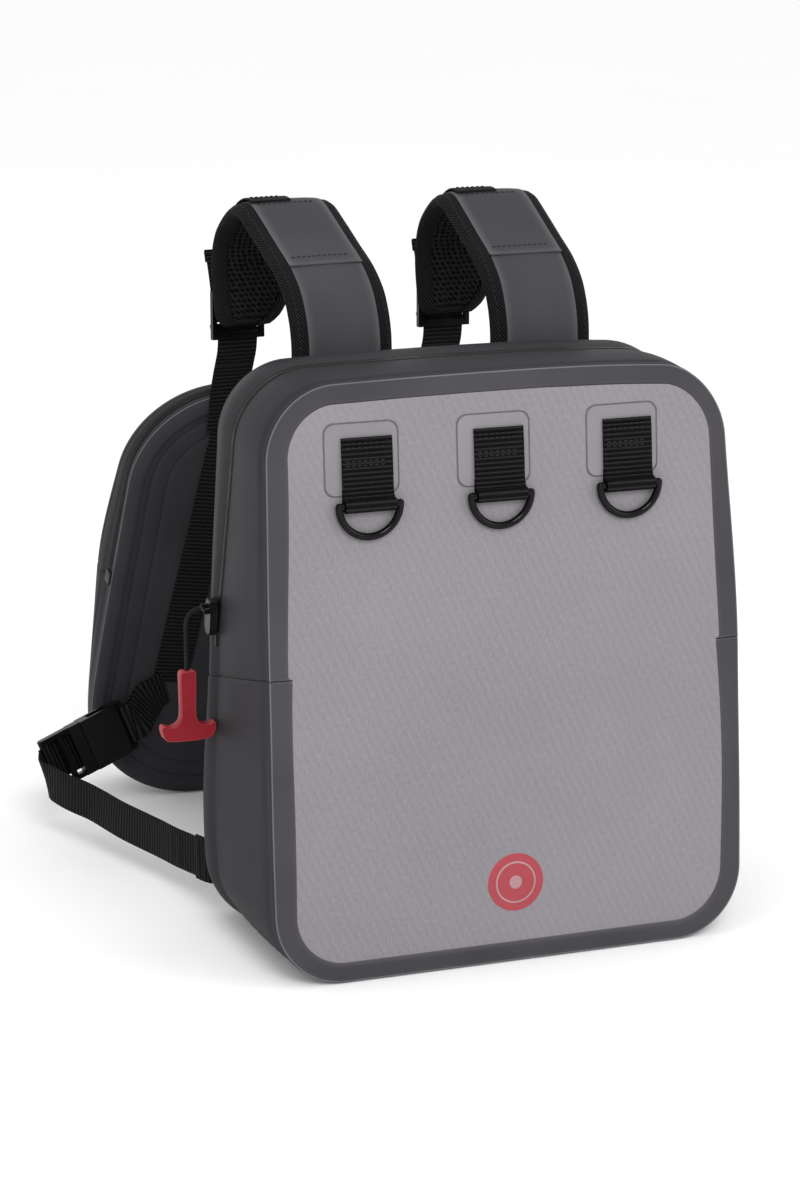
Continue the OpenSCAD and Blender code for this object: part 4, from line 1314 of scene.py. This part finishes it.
def chest_rows(p, n):
    """(inset, y, row name) rings from the panel's edge to the middle of the inner face."""
    z, wide = p[:, 1], 11.0
    even, rows, front = np.ones(len(z)), [], chest_front(z)
    for inset, lift in ((wide + 0.9, 0.4), (wide + 0.35, 1.05), (wide - 0.3, 1.5), (wide - 1.2, 1.6),
                        (wide - 3, 1.4), (6.0, 1.1)):
        rows.append((inset, front + lift + chest_crown(p[:, 0], z) * min(inset / wide, 1), "border"))
    r = 5.0
    for a in np.linspace(0, 90, 12):
        s, c = sin_cos(a)
        ridge = 0.7 * math.exp(-((a - 40) / 19) ** 2)
        rows.append((r * (1 - s) - ridge * s, front - r * (1 - c) + ridge * c + 0.3 * c,
                     "edge" if a < EDGE_ENDS else "turn"))
    start, end = front - r, CHEST_ZIP + 0.3
    for m in np.linspace(0, 1, 18)[1:]:
        groove = 1.1 * math.exp(-((m - 0.07) / 0.06) ** 2) + 1.3 * math.exp(-((m - 0.72) / 0.035) ** 2)
        rows.append((groove - 0.9 * math.sin(math.pi * m) + 0.5 * m ** 6, start + m * (end - start), "wall"))
    rows.append((0.5 * even, CHEST_ZIP, "zip"))
    for inset, y in ((0.3, 10.5), (0.0, 9), (0.0, 7), (-0.2, 5.2), (-0.6, 3.8), (-0.5, 2.4), (0.4, 1.2),
                     (1.8, 0.2), (3.6, -0.5), (5.2, -1.15), (6.4, -1.25), (7.4, -0.6), (8.4, 0.0), (10, 0.25),
                     (11.6, 0.3), (12.3, 0.9), (13.0, 0.9), (13.7, 0.1), (15, -0.3), (18, -0.4), (21.0, -0.2),
                     (22.3, 0.0), (22.9, 0.55), (23.5, 0.55), (24.1, -0.1), (26, -0.5), (31, -0.8)):
        rows.append((inset * even, y, "rear"))
    return rows


def chest_relief(grid, n):
    y = grid[..., 1]
    line = CHEST_SEAM + 0.6 - 8 * step(12, 40, y) * step(62, 30, y)
    return weld_relief(grid, n, line, CHEST_SEAM, 40, 0.8, 0.55, 15, lambda y, z: step(3, 7, y))


def chest_inner(x, z, f):
    """The soft inner face, a little uneven towards its middle."""
    return -0.8 - 0.5 * (1 - f ** 2) + 0.25 * np.sin(x / 17) * np.sin(z / 23) * (1 - f ** 4)


chest_line = chest_outline()
chest_grid, chest_names = build_shell(chest_line, chest_rows(*chest_line), chest_shape, chest_relief, 18,
                                      chest_inner)
chest_grid = chest_place(chest_grid)
chest_zip_row = pack_skins("chest", chest_grid, chest_names, chest_line, CHEST_SEAM, 6)
# pale line along the inner face's rim: painted highlight
bead("chest_inner_rim", chest_grid[chest_zip_row + 5, ring_run(chest_line, -1, True)], (0, 1, 0), 0.4,
     TPU_HIGHLIGHT, "chest_pack", "chest_back_shell")


def chest_face(x, z):
    return chest_front(z) + 0.9 + chest_crown(x, z)


panel("chest", chest_line, 11.2, chest_face, chest_shape, CHEST_SEAM, chest_place, True)
zip_half("chest", "rear", CHEST_SEAM + 6, 2.8, -1, chest_line, lambda z: CHEST_ZIP, chest_shape, chest_place)
zip_half("chest", "front", CHEST_SEAM + 6, 2.8, 1, chest_line, lambda z: CHEST_ZIP + 0.3, chest_shape,
         chest_place)
paint_node("chest_zip_docks", ZIP, 0.8)
paint_node("chest_slider", PLASTIC, 0.6)

rows, cols, margin = 36, 40, 34
padding = [(x, 4.2 + 2.0 * abs(math.sin(math.pi * (x + 110) / 36)) ** 0.5, z)
           for z in np.linspace(margin, CHEST_H - margin, rows) for x in np.linspace(-104, 104, cols)]
thick_sheet("chest_back_padding", chest_place(padding), flipped(open_faces(rows, cols)), FOAM,
            "chest_pack", "chest_stiffener", 1.2, 1)

STRIP_LEAN, STRIP_W, STRIP_MID, STRIP_POINTS = 8.5, 23.5, 181, 50
strips = []
for x0, turn in ((-88.0, 1), (72.0, -1)):
    s, c = sin_cos(STRIP_LEAN)
    s = s * turn
    down = np.linspace(92, -92, STRIP_POINTS)
    path = chest_place(np.stack([x0 + down * s, np.full(STRIP_POINTS, -1.7) - 0.25 * np.sin(down / 14),
                                 STRIP_MID + down * c], -1))
    strips.append(sweep(path, (1, 0, 0), strip_section(STRIP_W, 1.5)))
    for end in (88, 84, -86, -82):
        row = chest_place([(x0 + end * s + a * c, -2.6, STRIP_MID + end * c - a * s)
                           for a in np.linspace(-8.5, 8.5, 10)])
        strips.append(stitch_run(row, (0, -1, 0.2)))
v, f, uv = join(strips)
make("chest_strip_webbing", v, f, WEB, "chest_pack", "chest_strips", uv, angle=50)


# ---------- buckles and side webbing ----------

BUCKLE_AT, BUCKLE_TURN, BAR_END = np.array([-133.0, 265, 63]), np.radians([10, 19, 191]), 61.0


def turn_matrix(a, b, c):
    x = np.array([[1, 0, 0], [0, math.cos(a), -math.sin(a)], [0, math.sin(a), math.cos(a)]])
    y = np.array([[math.cos(b), 0, math.sin(b)], [0, 1, 0], [-math.sin(b), 0, math.cos(b)]])
    z = np.array([[math.cos(c), -math.sin(c), 0], [math.sin(c), math.cos(c), 0], [0, 0, 1]])
    return z @ y @ x


BUCKLE_M = turn_matrix(*BUCKLE_TURN)


def buckle_place(points):
    return BUCKLE_AT + np.asarray(points, float) @ BUCKLE_M.T


def mirror(points, side):
    return np.asarray(points, float) * np.array([1 if side == "left" else -1, 1, 1])


def bar_loop(x, r, start, end, n=9):
    """Points round a buckle bar, by angle from its outer side, in the buckle's frame."""
    turns = np.radians(np.linspace(start, end, n))
    return buckle_place([(x + r * math.sin(a), r * math.cos(a), 0) for a in turns])


def chest_tab(side, across):
    """Webbing from the chest pack round the socket's bar and back under itself."""
    near = np.array([(-104, 275.2, 82), (-111, 273.2, 78.5), (-118, 270.6, 74)])
    leg, back = buckle_place([(-8, 2.6, 0)]), buckle_place([(-8, -1.2, 0)])
    under = near[::-1] + np.array([0, 1.9, 0.2])
    path = np.concatenate([near, leg, bar_loop(0, 3.1, -30, 215), back, under])
    turn = np.array([0.15, 0.28, -1.0])
    mid = turn * 0.6 + across * 0.4
    mix = np.array([turn, turn, mid] + [across] * 11 + [mid, turn, turn])
    ribbon(f"chest_tab_webbing_{side}", mirror(path, side), mirror(mix, side), 25, 1.5, "chest_pack",
           f"chest_tab_{side}", 90)


def side_tab(side):
    """Low webbing tab on the main pack's wall and its stitch rows."""
    node = f"side_tab_{side}"
    path = np.array([(-141.4, 86.2, 30), (-139.5, 80, 30), (-137.2, 75, 30), (-132.5, 71.6, 30),
                     (-126, 70.8, 30), (-116, 71, 30), (-106, 71.2, 30)]) + np.array([0, 1.2, 0])
    ribbon(f"side_tab_webbing_{side}", mirror(path, side), (0, 0, -1), 28, 2.0, "main_pack", node, 40)
    rows = []
    for x in (-122, -119, -109, -106.4):
        line = mirror([(x, 73.6, z) for z in np.linspace(18, 42, 16)], side)
        rows.append(stitch_run(line, (0, 1, 0), 2.2, 1.0, 0.4))
    stitches(f"side_tab_stitches_{side}", rows, "main_pack", node)


def side_webbing(side, across):
    """Webbing from the plug's bar down to the side tab, in four pieces; the piece round the plug's bar rides
    with the plug.
    """
    bar = bar_loop(BAR_END - 2.4, 3.1, -200, 60)
    free = np.array([(-194.3, 240, 40.4), (-192.4, 230, 39), (-186.5, 216, 37), (-178, 199, 35),
                     (-170, 180, 33), (-163, 160, 31), (-157, 140, 30), (-151, 120, 30), (-146, 103, 30),
                     (-142.2, 90, 30), (-140.6, 83, 30)])
    inner = buckle_place([(38.6, -3.0, 0), (46, -3.5, 0), (51.5, -2.9, 0)])
    full = np.concatenate([inner, bar, free])
    twist = np.array([across] * (len(inner) + len(bar)) + [across * 0.75 + np.array([0, 0, -0.25])]
                     + [(0.12, -0.05, -1.0), (0.08, 0, -1), (0.05, 0, -1)] + [(0, 0, -1.0)] * 7, float)
    count = 260
    far, knots = np.linspace(0, 1, count), along(full)
    wide = sample(far, knots / knots[-1], twist)
    ripple = 0.8 * np.sin(far * 19) * step(0.3, 0.45, far) * step(1.0, 0.85, far)
    line = spline(full, count) + ripple[:, None] * np.array([1.0, 0, 0])
    y = line[:, 1]
    marks = [0, int(np.argmax((y < 252) & (far > 0.25))), int(np.argmax(y < 190)),
             int(np.argmax((y < 130) & (far > 0.3))), count - 1]
    plug = f"plug_{side}"
    owners = (("loop", plug, None), ("upper", plug, "chest_pack"),
              ("middle", "chest_pack", "shoulder_straps"), ("lower", "shoulder_straps", "main_pack"))
    for (part, a, b), i, j in zip(owners, marks, marks[1:]):
        v, f, uv = sweep(mirror(line[i:j + 1], side), mirror(wide[i:j + 1], side), strip_section(25, 1.5))
        uv[:, 1] += far[i] * 300
        node = () if b else f"side_webbing_{side}"
        obj = make(f"side_webbing_{side}_{part}", v, f, WEB, None, node, uv, angle=50, fix=True)
        if b is None:
            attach(obj, a)
        else:
            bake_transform(obj)
    rows = []
    for y0 in (112.0, 104.0):
        i = int(np.argmin(np.abs(line[:, 1] - y0) + 1000 * (far < 0.4)))
        out = np.cross(unit(line[i + 1] - line[i]), (0, 0, -1.0))
        row = [line[i] + out * (-1.15 if out[0] > 0 else 1.15) + np.array([0, 0, z])
               for z in np.linspace(-10.5, 10.5, 14)]
        rows.append(stitch_run(mirror(row, side), mirror([(-1, 0, 0)], side)[0]))
    stitches(f"side_webbing_stitches_{side}", rows, "main_pack", ())


for side in ("left", "right"):
    across = BUCKLE_M @ np.array([0, 0, -1.0])
    chest_tab(side, across)
    # each part with the width in millimetres of the bevel that rounds its edges
    for part, edge_highlight in (("socket", 0.9), ("plug", 0.9), ("arm_upper", 0.5), ("arm_lower", 0.5)):
        paint_node(f"buckle_{part}_{side}", PLASTIC, edge_highlight)
    side_tab(side)
    side_webbing(side, across)
